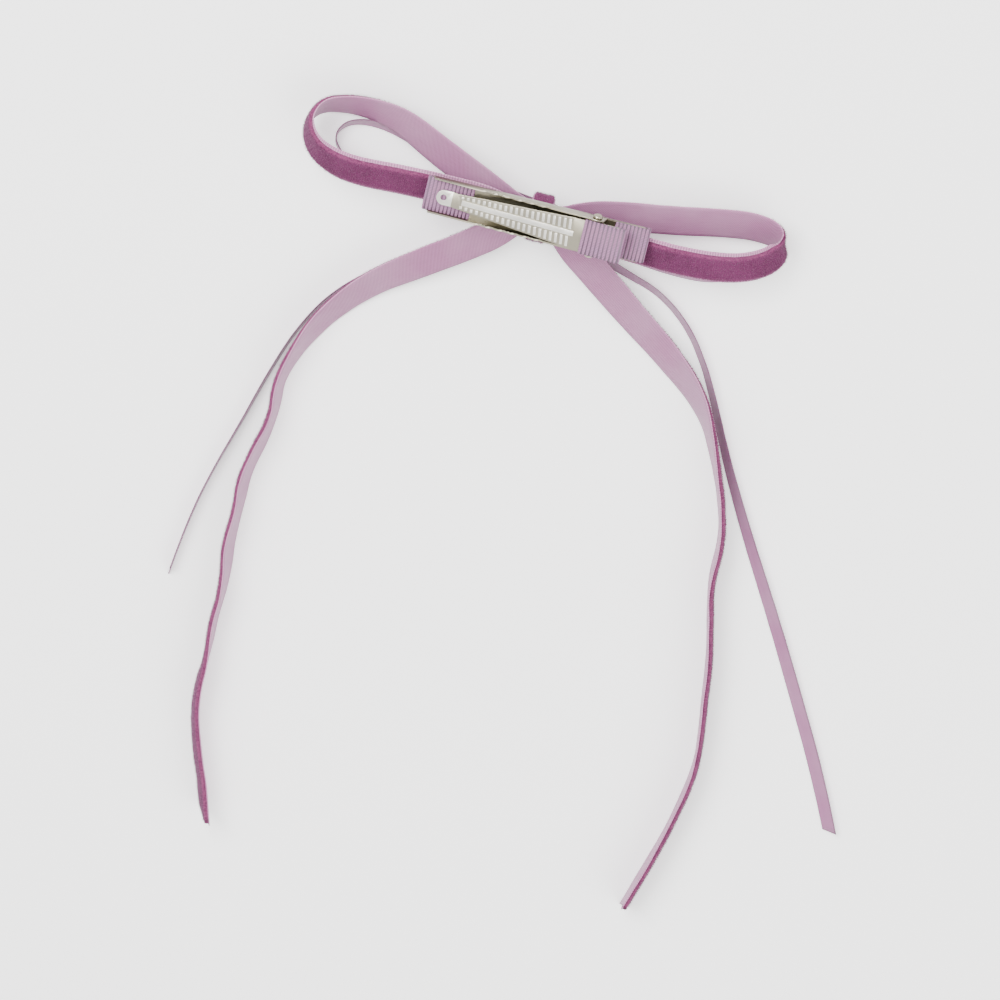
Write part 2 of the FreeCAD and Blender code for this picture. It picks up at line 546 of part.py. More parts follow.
def make_velvet_loop(rows, way, rear_layer, flare):
    rear, front = (2 - rear_layer) * STRAND_PITCH, (2 - FRONT_LAYER) * STRAND_PITCH
    places = (strand_end(way, rear) + route_rows(rows, VELVET_WIDTH, VELVET)
              + strand_end(way, front)[::-1])
    return ribbon_solid(places, VELVET, loop_lean=Vec(-way * flare, 1, 0))[0]


def make_velvet_tail(rows, way):
    places = strand_end(way, (2 - TAIL_LAYER) * STRAND_PITCH) + route_rows(rows, VELVET_WIDTH, VELVET)
    return ribbon_solid(places, VELVET, -way)[0]


def make_satin_loop(rows, way):
    x = KNOT_X + way * SATIN_END_GAP
    start = strand_place(x, SATIN_REAR_DEPTH, 0, SATIN_WIDTH)
    end = strand_place(x, SATIN_FRONT_DEPTH, SATIN_SLIDE, SATIN_WIDTH)
    places = [start] + route_rows(rows, SATIN_WIDTH, SATIN) + [end]
    return ribbon_solid(places, SATIN, loop_lean=Vec(0, 1, 0))[0]


def make_satin_tail(rows, way):
    mouth_x = KNOT_X + way * (KNOT_LENGTH / 2 + SATIN_MOUTH_RUN)
    places = [strand_place(x, SATIN_FRONT_DEPTH, -SATIN_SLIDE, SATIN_WIDTH)
              for x in (KNOT_X + way * SATIN_END_GAP, mouth_x)]
    places += route_rows(rows, SATIN_WIDTH, SATIN)
    tail, radii = ribbon_solid(places, SATIN, -way)
    samples = rounded_places(places)[0]
    length = sum(b[0].sub(a[0]).Length for a, b in zip(samples, samples[1:]))
    print("satin tail: length %.1f, radii %s, volume %.1f, section times length %.1f"
          % (length, " ".join("%.0f" % r for r in radii), tail.Volume, length * SATIN_WIDTH * SATIN))
    return tail


def main():
    os.makedirs("parts", exist_ok=True)
    band = make_knot_band()
    nodes = {
        "base_jaw": make_base_jaw(),
        "toothed_jaw": make_toothed_jaw(),
        "hinge_pin": make_hinge_pin(),
        "spring_coil": make_spring_coil(),
        "spring_leg": make_spring_leg(),
        "jaw_lining_ribbon": make_jaw_lining(),
        "lining_glue_film": make_lining_glue_film(),
        "lever_wrap_ribbon": make_lever_wrap(),
        "lever_cover_ribbon": make_lever_cover(),
        "velvet_knot_band": band,
        "binding_thread": make_binding_thread(),
        "bow_glue_pad": make_glue_pad(band),
        "velvet_loop_left": make_velvet_loop(VELVET_LOOP_LEFT, -1, 0, LEFT_FLARE),
        "velvet_loop_right": make_velvet_loop(VELVET_LOOP_RIGHT, 1, 1, RIGHT_FLARE),
        "velvet_tail_left": make_velvet_tail(VELVET_TAIL_LEFT, -1),
        "velvet_tail_right": make_velvet_tail(VELVET_TAIL_RIGHT, 1),
        "satin_loop_left": make_satin_loop(SATIN_LOOP_LEFT, -1),
        "satin_loop_right": make_satin_loop(SATIN_LOOP_RIGHT, 1),
        "satin_tail_left": make_satin_tail(SATIN_TAIL_LEFT, -1),
        "satin_tail_right": make_satin_tail(SATIN_TAIL_RIGHT, 1),
    }
    for name, shape in nodes.items():
        shape.exportStep("parts/" + name + ".step")


main()
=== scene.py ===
import json
import math
from collections import namedtuple

import bmesh
import bpy
from bpy.props import FloatProperty, FloatVectorProperty, IntProperty, PointerProperty
from mathutils import Matrix, Vector, noise


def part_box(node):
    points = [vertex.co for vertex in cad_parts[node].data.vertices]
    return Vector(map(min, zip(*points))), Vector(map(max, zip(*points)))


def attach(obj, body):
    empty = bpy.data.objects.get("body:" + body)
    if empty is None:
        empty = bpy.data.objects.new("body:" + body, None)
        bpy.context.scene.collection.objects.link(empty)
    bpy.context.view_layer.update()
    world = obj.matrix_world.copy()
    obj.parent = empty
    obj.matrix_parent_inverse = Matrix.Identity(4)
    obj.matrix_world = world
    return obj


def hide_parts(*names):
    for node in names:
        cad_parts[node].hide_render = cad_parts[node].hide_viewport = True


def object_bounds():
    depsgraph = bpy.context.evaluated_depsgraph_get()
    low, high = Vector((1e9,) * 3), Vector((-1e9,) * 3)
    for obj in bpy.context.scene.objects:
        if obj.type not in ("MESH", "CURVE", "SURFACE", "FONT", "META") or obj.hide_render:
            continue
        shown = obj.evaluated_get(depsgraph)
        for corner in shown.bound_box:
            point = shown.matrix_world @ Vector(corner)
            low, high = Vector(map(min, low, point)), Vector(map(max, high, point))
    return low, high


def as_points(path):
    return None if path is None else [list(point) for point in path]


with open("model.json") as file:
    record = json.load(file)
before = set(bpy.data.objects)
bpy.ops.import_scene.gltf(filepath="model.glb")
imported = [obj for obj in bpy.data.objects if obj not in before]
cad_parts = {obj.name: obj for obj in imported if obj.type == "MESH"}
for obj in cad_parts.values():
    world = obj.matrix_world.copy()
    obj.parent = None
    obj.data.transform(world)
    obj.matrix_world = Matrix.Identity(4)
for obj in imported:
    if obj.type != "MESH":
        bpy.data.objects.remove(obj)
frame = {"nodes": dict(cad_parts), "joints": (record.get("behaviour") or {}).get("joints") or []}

bl_info = {
    "name": "Ribbon Bow Barrette",
    "version": (1, 0, 0),
    "blender": (4, 5, 0),
    "location": "3D View > Sidebar > Barrette",
    "description": "A sprung jaw clip lined with grosgrain, with a bow of velvet and narrow satin ribbon",
    "category": "Object",
}

# ------------ places taken from the frame
MM = 0.001
CAD_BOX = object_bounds()
FLOOR = CAD_BOX[0].z
CLIP, JAW = "clip_and_bow", "moving_jaw"
HINGE = Vector(frame["joints"][0]["pos_m"])
KNOT_LOW, KNOT_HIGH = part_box("velvet_knot_band")
KNOT = (KNOT_LOW + KNOT_HIGH) / 2
KNOT_HALF_LENGTH = (KNOT_HIGH.x - KNOT_LOW.x) / 2
X_AXIS, Y_AXIS, Z_AXIS = Vector((1, 0, 0)), Vector((0, 1, 0)), Vector((0, 0, 1))

# the bow's ribbons lean this far from upright at the knot, and stack up through its depth
BOW_LEAN = 65.0
WIDTH_AXIS = Vector((0, math.sin(math.radians(BOW_LEAN)), math.cos(math.radians(BOW_LEAN))))
DEPTH_AXIS = Vector((0, -math.cos(math.radians(BOW_LEAN)), math.sin(math.radians(BOW_LEAN))))
STRAND_PITCH = 1.12 * MM
GATHERED_WIDTH = 7.6 * MM
MOUTH_RUN = 1.6 * MM
END_GAP = 0.1 * MM
SATIN_MOUTH_RUN = 0.6 * MM
SATIN_END_GAP = 1.0 * MM
SATIN_FRONT_DEPTH = -1.95 * MM
SATIN_REAR_DEPTH = -2.5 * MM
SATIN_SLIDE = 2.1 * MM
TAIL_LAYER, FRONT_LAYER = 2, 3

# Routes of the ribbons, in millimetres. Each row is x, y, lean in degrees from upright, and height of
# the lower edge above the surface that the bow lies on.
VELVET_LOOP_LEFT = [
    (-12.0, 0.3, 65, 11.0), (-24.0, 0.4, 65, 10.9), (-36.0, 0.1, 65, 10.8), (-45.0, -0.5, 64, 10.7),
    (-52.5, -0.1, 58, 10.0), (-59.2, 2.4, 48, 7.5), (-62.2, 7.8, 40, 4.5), (-59.5, 12.4, 41, 2.2),
    (-53.0, 14.2, 43, 1.6), (-46.0, 14.4, 49, 1.9), (-38.0, 13.2, 59, 3.3), (-27.5, 8.2, 67, 5.3),
    (-15.0, 3.5, 67, 7.6)]
VELVET_LOOP_RIGHT = [
    (13.0, -2.2, 65, 10.7), (24.0, -2.9, 65, 10.5), (35.0, -3.3, 65, 10.4), (46.0, -3.0, 65, 10.0),
    (55.5, -1.0, 64, 8.4), (61.6, 3.4, 62, 5.6), (60.4, 7.6, 62, 3.4), (53.0, 8.5, 62, 2.5),
    (43.0, 6.8, 62, 2.6), (32.0, 4.8, 63, 3.6), (21.0, 3.5, 64, 5.0), (12.0, 1.9, 65, 6.8)]
VELVET_TAIL_LEFT = [
    (-9.4, -8.4, 64, 6.2), (-17.0, -15.0, 62, 4.6), (-26.5, -22.4, 60, 2.6), (-38.2, -31.6, 50, 0.8),
    (-46.8, -42.4, 38, 0), (-51.6, -52.6, 22, 0), (-54.4, -62.6, 11, 0), (-53.6, -71.0, 7, 0),
    (-55.4, -80.6, 17, 0), (-57.4, -89.0, 14, 0), (-57.0, -98.0, 8, 0), (-57.6, -108.0, 12, 0),
    (-56.0, -119.0, 5, 0), (-56.6, -131.0, 4, 0), (-55.9, -141.0, -2, 0), (-56.6, -150.0, -8, 0),
    (-55.4, -158.6, -13, 0), (-52.6, -168.0, -16, 0), (-49.4, -176.6, -17, 0), (-47.7, -183.0, -16, 0)]
VELVET_TAIL_RIGHT = [
    (10.0, -7.6, 68, 5.4), (18.4, -14.4, 68, 3.4), (28.6, -22.6, 63, 1.4), (39.8, -30.8, 57, 0.4),
    (48.8, -38.4, 42, 0), (54.6, -46.4, 21, 0), (58.9, -56.4, 12, 0), (62.6, -66.0, 9, 0),
    (65.2, -76.0, 5, 0), (64.8, -87.0, 3, 0), (67.2, -97.6, 6, 0), (69.6, -108.0, 5, 0), (70.8, -118.0, 4, 0),
    (72.4, -128.6, 4, 0), (73.2, -139.0, 1, 0), (71.6, -150.0, -1, 0), (69.6, -160.0, -2, 0),
    (67.0, -170.0, 0, 0), (64.1, -180.2, -2, 0)]
SATIN_LOOP_LEFT = [
    (-14.0, -3.4, 50, 2.4), (-27.0, -5.0, 38, 0.6), (-40.0, -5.0, 30, 0), (-50.4, -2.2, 30, 0.3),
    (-55.2, 3.4, 30, 0.4), (-52.2, 8.6, 34, 0.4), (-44.0, 9.6, 42, 0), (-34.0, 7.0, 52, 0),
    (-23.0, 3.4, 56, 0.4), (-13.0, 0.6, 60, 2.6)]
SATIN_LOOP_RIGHT = [
    (13.0, -5.6, 50, 2.4), (24.0, -8.8, 42, 0.8), (35.0, -10.2, 36, 0), (45.0, -10.0, 34, 0.3),
    (51.0, -7.6, 34, 0.4), (50.0, -4.6, 34, 0.4), (43.0, -3.8, 36, 0), (33.0, -4.4, 44, 0.2),
    (22.0, -4.2, 54, 1.2), (13.0, -2.6, 60, 3.0)]
SATIN_TAIL_LEFT = [
    (-11.5, -9.8, 54, 3.6), (-23.0, -18.4, 42, 1.4), (-35.0, -26.6, 28, 0.3), (-45.8, -36.0, 18, 0),
    (-52.6, -47.6, 14, 0), (-57.2, -61.0, 12, 0), (-61.2, -76.0, 10, 0), (-66.0, -92.0, 7, 0),
    (-69.2, -107.0, 4, 0), (-70.8, -121.0, 2, 0)]
SATIN_TAIL_RIGHT = [
    (12.5, -7.6, 54, 3.4), (23.2, -12.3, 44, 1.8), (34.2, -15.8, 36, 0.4), (43.2, -22.8, 32, 0),
    (50.0, -32.2, 30, 0), (55.6, -43.2, 32, 0), (61.8, -56.4, 40, 0), (71.4, -74.2, 50, 0),
    (83.0, -94.0, 58, 0), (94.4, -114.6, 62, 0), (105.0, -134.2, 64, 0), (111.3, -147.9, 60, 0)]
LEFT_FLARE, RIGHT_FLARE = 0.2, 0.3


# ------------ what a user would change
def length_setting(name, description, millimetres):
    return FloatProperty(name=name, description=description, default=millimetres * MM, unit="LENGTH")


def colour_setting(name, description, *colour):
    return FloatVectorProperty(name=name, description=description, subtype="COLOR", default=colour)


class BowSizes(bpy.types.PropertyGroup):
    velvet_width: length_setting("Velvet Width", "Width of the velvet ribbon", 10)
    velvet_thickness: length_setting("Velvet Thickness", "Woven back and pile together", 1.0)
    back_thickness: length_setting("Back Thickness", "Woven back of the velvet ribbon", 0.3)
    pile_height: length_setting("Pile Height", "Height of the pile over the woven back", 1.0)
    loop_selvage: length_setting("Loop Selvage", "Bare woven edge beside the pile on the loops", 1.15)
    tail_selvage: length_setting("Tail Selvage", "Bare woven edge beside the pile on the tails", 0.75)
    satin_width: length_setting("Satin Width", "Width of the narrow satin ribbon", 4)
    satin_thickness: length_setting("Satin Thickness", "Thickness of the narrow satin ribbon", 0.35)
    pile_density: FloatProperty(
        name="Pile Density", description="Tufts that stand out of the pile, in each square millimetre",
        default=18.0, min=0.0)
    tuft_length: length_setting("Tuft Length", "Length of a tuft that stands out of the pile", 0.6)


class ClipSizes(bpy.types.PropertyGroup):
    grosgrain_thickness: length_setting("Grosgrain Thickness", "Thickness over the ribs", 0.4)
    rib_pitch: length_setting("Rib Pitch", "Distance between grosgrain ribs", 0.95)
    edge_round: length_setting("Edge Rounding", "Rounding of the pressed sheet's edges", 0.07)
    coil_turns: IntProperty(
        name="Spring Turns", description="Turns of the spring that stay with the far jaw", default=9, min=2)


class BarretteColours(bpy.types.PropertyGroup):
    pile: colour_setting("Pile", "Velvet pile", 0.125, 0.021, 0.083)
    back: colour_setting("Velvet Back", "Satin back of the velvet", 0.35, 0.135, 0.27)
    selvage: colour_setting("Selvage", "Woven edge of the velvet", 0.52, 0.22, 0.40)
    satin: colour_setting("Satin", "Narrow satin ribbon", 0.30, 0.115, 0.235)
    grosgrain: colour_setting("Grosgrain", "Ribbed ribbon on the clip", 0.245, 0.125, 0.225)
    nickel: colour_setting("Nickel", "Plating of the clip", 0.46, 0.43, 0.35)


def bow_sizes():
    return bpy.context.scene.bow_sizes


def clip_sizes():
    return bpy.context.scene.clip_sizes


def colours():
    return bpy.context.scene.barrette_colours


# ------------ node helpers
class Signal:
    """An output in a node tree. Arithmetic on it adds math nodes."""

    def __init__(self, socket):
        self.socket, self.tree = socket, socket.id_data

    def math(self, operation, other=None, clamp=False):
        node = add_node(self.tree, "ShaderNodeMath", {0: self}, operation=operation, use_clamp=clamp)
        if other is not None:
            feed(node.inputs[1], other)
        return out(node)

    def __add__(self, other):
        return self.math("ADD", other)

    def __sub__(self, other):
        return self.math("SUBTRACT", other)

    def __mul__(self, other):
        return self.math("MULTIPLY", other)

    def __truediv__(self, other):
        return self.math("DIVIDE", other)

    def __pow__(self, other):
        return self.math("POWER", other)

    def __abs__(self):
        return self.math("ABSOLUTE")

    def ramp(self, low, high, kind="SMOOTHSTEP"):
        """A mask that goes from 0 to 1 while this value goes from low to high."""
        inputs = {"Value": self, "From Min": low, "From Max": high}
        return out(add_node(self.tree, "ShaderNodeMapRange", inputs, interpolation_type=kind))


def feed(socket, value):
    """Links a signal to a socket, or sets the socket to a plain value."""
    if isinstance(value, Signal):
        value.tree.links.new(value.socket, socket)
    elif socket.type == "RGBA":
        socket.default_value = (*value[:3], 1.0)
    else:
        socket.default_value = value


def add_node(tree, kind, inputs=None, **settings):
    """Adds a node. inputs has the signals or values of its sockets, by name or number."""
    node = tree.nodes.new(kind)
    for key, value in settings.items():
        setattr(node, key, value)
    for key, value in (inputs or {}).items():
        feed(node.inputs[key], value)
    return node


def out(node, key=0):
    return Signal(node.outputs[key])


def split(vector):
    """The x, y and z of a vector."""
    node = add_node(vector.tree, "ShaderNodeSeparateXYZ", {0: vector})
    return [Signal(socket) for socket in node.outputs]


def mix(factor, first, second):
    """A colour that goes from the first to the second as the factor goes from 0 to 1."""
    return out(add_node(factor.tree, "ShaderNodeMix", {0: factor, 6: first, 7: second}, data_type="RGBA"), 2)


def stretched(place, scale):
    return out(add_node(place.tree, "ShaderNodeMapping", {0: place, "Scale": scale}))


def noise_over(place, scale, detail):
    """Noise from 0 to 1."""
    inputs = {"Vector": place, "Scale": scale, "Detail": detail}
    return out(add_node(place.tree, "ShaderNodeTexNoise", inputs), "Fac")


def wave(coordinate, pitch):
    """A sine from 0 to 1 of that pitch along a coordinate."""
    return (coordinate / pitch * math.tau).math("SINE") * 0.5 + 0.5


def node_group(name, kind, inputs, outputs, fill):
    """A node group, built once. fill takes its inputs and returns its outputs."""
    if name not in bpy.data.node_groups:
        tree = bpy.data.node_groups.new(name, kind)
        for label, socket_kind, default in inputs:
            socket = tree.interface.new_socket(label, in_out="INPUT", socket_type="NodeSocket" + socket_kind)
            if default is not None:
                socket.default_value = default
        for label, socket_kind in outputs:
            tree.interface.new_socket(label, in_out="OUTPUT", socket_type="NodeSocket" + socket_kind)
        given, result = add_node(tree, "NodeGroupInput"), add_node(tree, "NodeGroupOutput")
        for socket, value in zip(result.inputs, fill(*[out(given, k) for k in range(len(inputs))])):
            feed(socket, value)
    return bpy.data.node_groups[name]


def weave_group():
    """Ribs across a ribbon and warp threads along it, with slubs, from its own flat coordinates."""
    def fill(flat, rib_pitch, warp_pitch, slant, warp_share, slubs):
        along, across = split(flat)[:2]
        slub = (noise_over(stretched(flat, (0.25, 6.0, 1.0)), 0.9, 3.0) - 0.5) * slubs
        height = wave(along + across * slant, rib_pitch) + wave(across, warp_pitch) * warp_share
        return height + slub, (height * 0.6).math("ADD", slub, clamp=True)

    return node_group(
        "woven threads", "ShaderNodeTree",
        [("Flat", "Vector", None), ("Rib Pitch", "Float", 0.4), ("Warp Pitch", "Float", 0.25),
         ("Slant", "Float", 0.0), ("Warp Share", "Float", 0.35), ("Slubs", "Float", 0.3)],
        [("Height", "Float"), ("Shade", "Float")], fill)


def cloud_group():
    """Slow and fine variation over a surface, as two masks from 0 to 1."""
    def fill(place, coarse, fine):
        return [noise_over(place, scale, detail).ramp(0.3, 0.7, "LINEAR")
                for scale, detail in ((coarse, 2.0), (fine, 4.0))]

    return node_group(
        "cloudy variation", "ShaderNodeTree",
        [("Place", "Vector", None), ("Coarse", "Float", 90.0), ("Fine", "Float", 1500.0)],
        [("Slow", "Float"), ("Quick", "Float")], fill)


def weave(shader, rib_pitch, warp_pitch, warp_share, slubs, slant=0.0):
    """Height and shade of the threads, with pitches in millimetres."""
    node = add_node(shader.id_data, "ShaderNodeGroup",
                    {"Flat": flat_place(shader), "Rib Pitch": rib_pitch, "Warp Pitch": warp_pitch,
                     "Slant": slant, "Warp Share": warp_share, "Slubs": slubs}, node_tree=weave_group())
    return out(node, "Height"), out(node, "Shade")


def clouds(shader, coarse, fine):
    """Slow and quick variation, with scales per metre."""
    node = add_node(shader.id_data, "ShaderNodeGroup",
                    {"Place": object_place(shader), "Coarse": coarse, "Fine": fine}, node_tree=cloud_group())
    return out(node, "Slow"), out(node, "Quick")


def object_place(shader):
    return out(add_node(shader.id_data, "ShaderNodeTexCoord"), "Object")


def flat_place(shader):
    """The ribbon's own coordinates, in millimetres along and across it."""
    to_millimetres = (1 / (UV_SCALE * MM),) * 3
    return stretched(out(add_node(shader.id_data, "ShaderNodeUVMap", uv_map="ribbon")), to_millimetres)


def paint(shader, inputs):
    for key, value in inputs.items():
        feed(shader.inputs[key], value)


def bump(shader, height, millimetres, strength):
    node = add_node(shader.id_data, "ShaderNodeBump",
                    {"Height": height, "Distance": millimetres * MM, "Strength": strength})
    feed(shader.inputs["Normal"], out(node))


def shade_of(colour, *factors):
    """The colour times one factor, or times one each for red, green and blue."""
    return tuple(min(1.0, part * factor) for part, factor in zip(colour, factors * 3))


# ------------ finishes
VELVET_SHEEN = (0.86, 0.52, 0.74)
# colour of the painted shade on steel faces that turn sideways
SIDE_SHADE_COLOUR = (0.10, 0.09, 0.055)
# colour of the painted shade inside the far jaw's channel
CHANNEL_SHADE_COLOUR = (0.085, 0.075, 0.04)
# colour of the painted highlight on the toothed jaw's raised bars, rib and nose
RAISED_HIGHLIGHT_COLOUR = (0.95, 0.93, 0.87)
SPRING_STEEL = (0.55, 0.53, 0.49)


def finish(name):
    """Makes a function that fills in a shader give the named material, which is made once."""
    def wrap(fill):
        def material():
            if name not in bpy.data.materials:
                made = bpy.data.materials.new(name)
                made.use_nodes = True
                fill(made.node_tree.nodes["Principled BSDF"])
            return bpy.data.materials[name]
        return material
    return wrap


@finish("velvet pile")
def velvet_pile(shader):
    pile = colours().pile
    light = shade_of(pile, 1.35, 1.7, 1.3)
    slow, quick = clouds(shader, 120.0, 2200.0)
    height, shade = weave(shader, 0.55, 0.45, 0.5, 0.8)
    colour = mix((slow * 0.55).math("ADD", quick * 0.45, clamp=True), shade_of(pile, 0.25), light)
    rowed = mix(shade * 0.35, colour, shade_of(light, 1.25))
    # painted sheen: the pile turns a lighter pink towards both of its edges, broken up by fine noise
    painted_edge_sheen = abs(split(flat_place(shader))[1]).ramp(2.6, 4.2) * (quick + 0.1)
    paint(shader, {"Base Color": mix(painted_edge_sheen, rowed, shade_of(pile, 2.1, 3.2, 1.9)), "Roughness": 0.95,
                   "Specular IOR Level": 0.1, "Sheen Weight": 0.3, "Sheen Roughness": 0.38,
                   "Sheen Tint": VELVET_SHEEN})
    bump(shader, quick + height, 0.08, 0.8)


@finish("pile tips")
def pile_tips(shader):
    """The tips of the pile, mostly lighter than it: painted highlight on the fibres, of random strength."""
    pile, quick = colours().pile, clouds(shader, 200.0, 3500.0)[1]
    paint(shader, {"Base Color": mix(quick, shade_of(pile, 0.35), shade_of(pile, 2.0, 2.6, 2.0)),
                   "Roughness": 0.8, "Sheen Weight": 0.3, "Sheen Tint": VELVET_SHEEN})


def woven(shader, colour, rib_pitch, warp_pitch, sheen, roughness, depth, contrast, slant=0.0):
    """A satin or plain woven face: fine ribs across, warp threads along, and a soft sheen."""
    height, shade = weave(shader, rib_pitch, warp_pitch, 0.4, 0.5, slant)
    slow, quick = clouds(shader, 70.0, 900.0)
    shaded = mix(shade, shade_of(colour, 1 - contrast * 0.6), shade_of(colour, 1 + contrast * 0.45))
    pale = tuple(part + (0.74 - part) * 0.35 for part in colour)
    paint(shader, {"Base Color": mix(slow * 0.22, shaded, pale),
                   "Roughness": quick * 0.12 + (roughness - 0.06),
                   "Specular IOR Level": 0.28, "Sheen Weight": sheen, "Sheen Roughness": 0.4,
                   "Sheen Tint": (0.9, 0.7, 0.85)})
    bump(shader, height, depth, 0.7)


@finish("velvet back")
def velvet_back(shader):
    woven(shader, colours().back, 0.4, 0.22, sheen=0.06, roughness=0.46, depth=0.06, contrast=0.8, slant=0.5)


@finish("selvage")
def selvage(shader):
    woven(shader, colours().selvage, 0.7, 0.45, sheen=0.12, roughness=0.6, depth=0.12, contrast=0.9)


@finish("narrow satin")
def narrow_satin(shader):
    woven(shader, colours().satin, 0.3, 0.16, sheen=0.08, roughness=0.36, depth=0.02, contrast=0.25)


@finish("satin edge")
def satin_edge(shader):
    dark = shade_of(colours().satin, 0.6)
    woven(shader, dark, 0.4, 0.22, sheen=0.08, roughness=0.5, depth=0.05, contrast=0.4)


@finish("ribbed grosgrain")
def ribbed_grosgrain(shader):
    colour = colours().grosgrain
    slow, quick = clouds(shader, 240.0, 3000.0)
    mask = wave(split(object_place(shader))[1], 0.42 * MM) * 0.55 + quick * 0.4
    threads = mix(mask, shade_of(colour, 0.6), shade_of(colour, 1.4))
    paint(shader, {"Base Color": mix(slow * 0.45, threads, shade_of(colour, 1.25, 1.1, 1.0)),
                   "Roughness": 0.62, "Specular IOR Level": 0.25, "Sheen Weight": 0.08,
                   "Sheen Tint": (0.85, 0.7, 0.9)})
    bump(shader, mask, 0.04, 0.8)


@finish("grosgrain core shade")
def grosgrain_core_shade(shader):
    """The ribbon's core between the ribs, darkened as painted shade in the grooves."""
    dark = shade_of(colours().grosgrain, 0.45)
    woven(shader, dark, 0.5, 0.4, sheen=0.05, roughness=0.7, depth=0.06, contrast=0.6)


def plated(shader, colour, roughness, smudges, scratches, side_shade=0.3):
    """Plated steel: slow smudges, fine rolling lines along the sheet, small pits, and painted shade on faces
    that turn sideways. Returns its colour.
    """
    slow = clouds(shader, 220.0, 2400.0)[0]
    lines = noise_over(stretched(object_place(shader), (0.08, 1.0, 1.0)), 6000.0, 2.0)
    worn = mix(slow * smudges, colour, shade_of(colour, 0.78, 0.74, 0.62))
    facing = split(out(add_node(shader.id_data, "ShaderNodeTexCoord"), "Normal"))[2]
    # painted shade: the further a face turns from straight up, the more it darkens towards the dark side
    # colour
    sides = abs(facing).ramp(0.25, 0.9) * (1 - side_shade) + side_shade
    base = mix(sides, SIDE_SHADE_COLOUR, worn)
    paint(shader, {"Base Color": base, "Metallic": 1.0,
                   "Roughness": slow * 0.12 + lines * scratches + roughness})
    bump(shader, lines + slow * 2.0, 0.004, 0.5)
    return base


@finish("nickel plate")
def nickel_plate(shader):
    """The far jaw's plating, with painted shade darkening the inside of its channel."""
    base = plated(shader, colours().nickel, 0.2, smudges=0.5, scratches=0.1)
    x, y, z = split(object_place(shader))
    # painted shade inside the channel: darker towards its flanges and away from the nose
    inside = abs(y).math("LESS_THAN", 4.3 * MM) * z.math("GREATER_THAN", -0.9 * MM)
    painted_channel_shade = inside * 0.85 * abs(y).ramp(1.6 * MM, 3.4 * MM) * x.ramp(-15 * MM, -9 * MM)
    paint(shader, {"Base Color": mix(painted_channel_shade, base, CHANNEL_SHADE_COLOUR)})


@finish("bright nickel plate")
def bright_nickel_plate(shader):
    """The toothed jaw's plating, with a painted highlight where its bars, rib and nose stand out."""
    nickel = shade_of(colours().nickel, 0.95)
    base = plated(shader, nickel, 0.24, smudges=0.3, scratches=0.14, side_shade=0.25)
    x, y, z = split(object_place(shader))
    sheet_top = (x - (JAW_STEP_X + JAW_STEP_LENGTH)) * math.tan(JAW_SLOPE) + (JAW_STEP_RISE + JAW_SHEET / 2)
    # painted highlight over whatever stands above the sheet, and over the whole nose
    raised = (z - sheet_top).ramp(0.06 * MM, 0.24 * MM).math("MAXIMUM", x.math("LESS_THAN", JAW_STEP_X))
    paint(shader, {"Base Color": mix(raised, base, RAISED_HIGHLIGHT_COLOUR)})


@finish("spring wire")
def spring_wire(shader):
    plated(shader, SPRING_STEEL, 0.24, smudges=0.5, scratches=0.2)


@finish("hot-melt glue")
def hot_melt_glue(shader):
    slow = clouds(shader, 300.0, 1800.0)[0]
    paint(shader, {"Base Color": mix(slow, (0.80, 0.76, 0.66), (0.90, 0.88, 0.82)), "Roughness": 0.34,
                   "Subsurface Weight": 0.3, "Subsurface Radius": (0.001, 0.0008, 0.0006)})
    bump(shader, slow, 0.05, 0.5)


@finish("binding thread")
def binding_thread(shader):
    colour, quick = shade_of(colours().pile, 1.3), clouds(shader, 900.0, 5000.0)[1]
    paint(shader, {"Base Color": mix(quick, shade_of(colour, 0.7), shade_of(colour, 1.5)), "Roughness": 0.7,
                   "Sheen Weight": 0.3})
    bump(shader, quick, 0.03, 0.7)


@finish("pale floor")
def pale_floor(shader):
    paint(shader, {"Base Color": (0.93, 0.93, 0.935), "Roughness": 0.9, "Specular IOR Level": 0.1,
                   "Emission Color": (1.0, 1.0, 1.0), "Emission Strength": 0.6})


# ------------ mesh helpers
UV_SCALE = 100                   # of a ribbon's flat coordinates, for each metre


def new_piece(name, mesh, materials, slot=None, body=CLIP, node=None):
    """A piece at the origin, with its finish, its body and the CAD node that it stands for."""
    for material in materials:
        mesh.materials.append(material)
    piece = linked_object(name, mesh)
    if slot:
        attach(piece, body)
    if node:
        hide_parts(node)
    return piece


def linked_object(name, data):
    made = bpy.data.objects.new(name, data)
    bpy.context.scene.collection.objects.link(made)
    return made


def finished_mesh(bm, name):
    """The mesh of a bmesh, which is then freed."""
    mesh = bpy.data.meshes.new(name)
    bm.to_mesh(mesh)
    bm.free()
    return mesh


def smooth_shade(mesh):
    mesh.polygons.foreach_set("use_smooth", [True] * len(mesh.polygons))


def applied(piece):
    """The piece's mesh with its modifiers applied, which are then removed."""
    depsgraph = bpy.context.evaluated_depsgraph_get()
    mesh = bpy.data.meshes.new_from_object(piece.evaluated_get(depsgraph), depsgraph=depsgraph)
    piece.modifiers.clear()
    return mesh


def nodes_applied(holder, group, inputs):
    """The mesh that a geometry node group makes of a holder, which is then removed."""
    modifier = holder.modifiers.new("nodes", "NODES")
    modifier.node_group = group
    identifiers = {item.name: item.identifier for item in group.interface.items_tree
                   if item.item_type == "SOCKET" and item.in_out == "INPUT"}
    for label, value in inputs.items():
        modifier[identifiers[label]] = value
    mesh = applied(holder)
    bpy.data.objects.remove(holder)
    return mesh


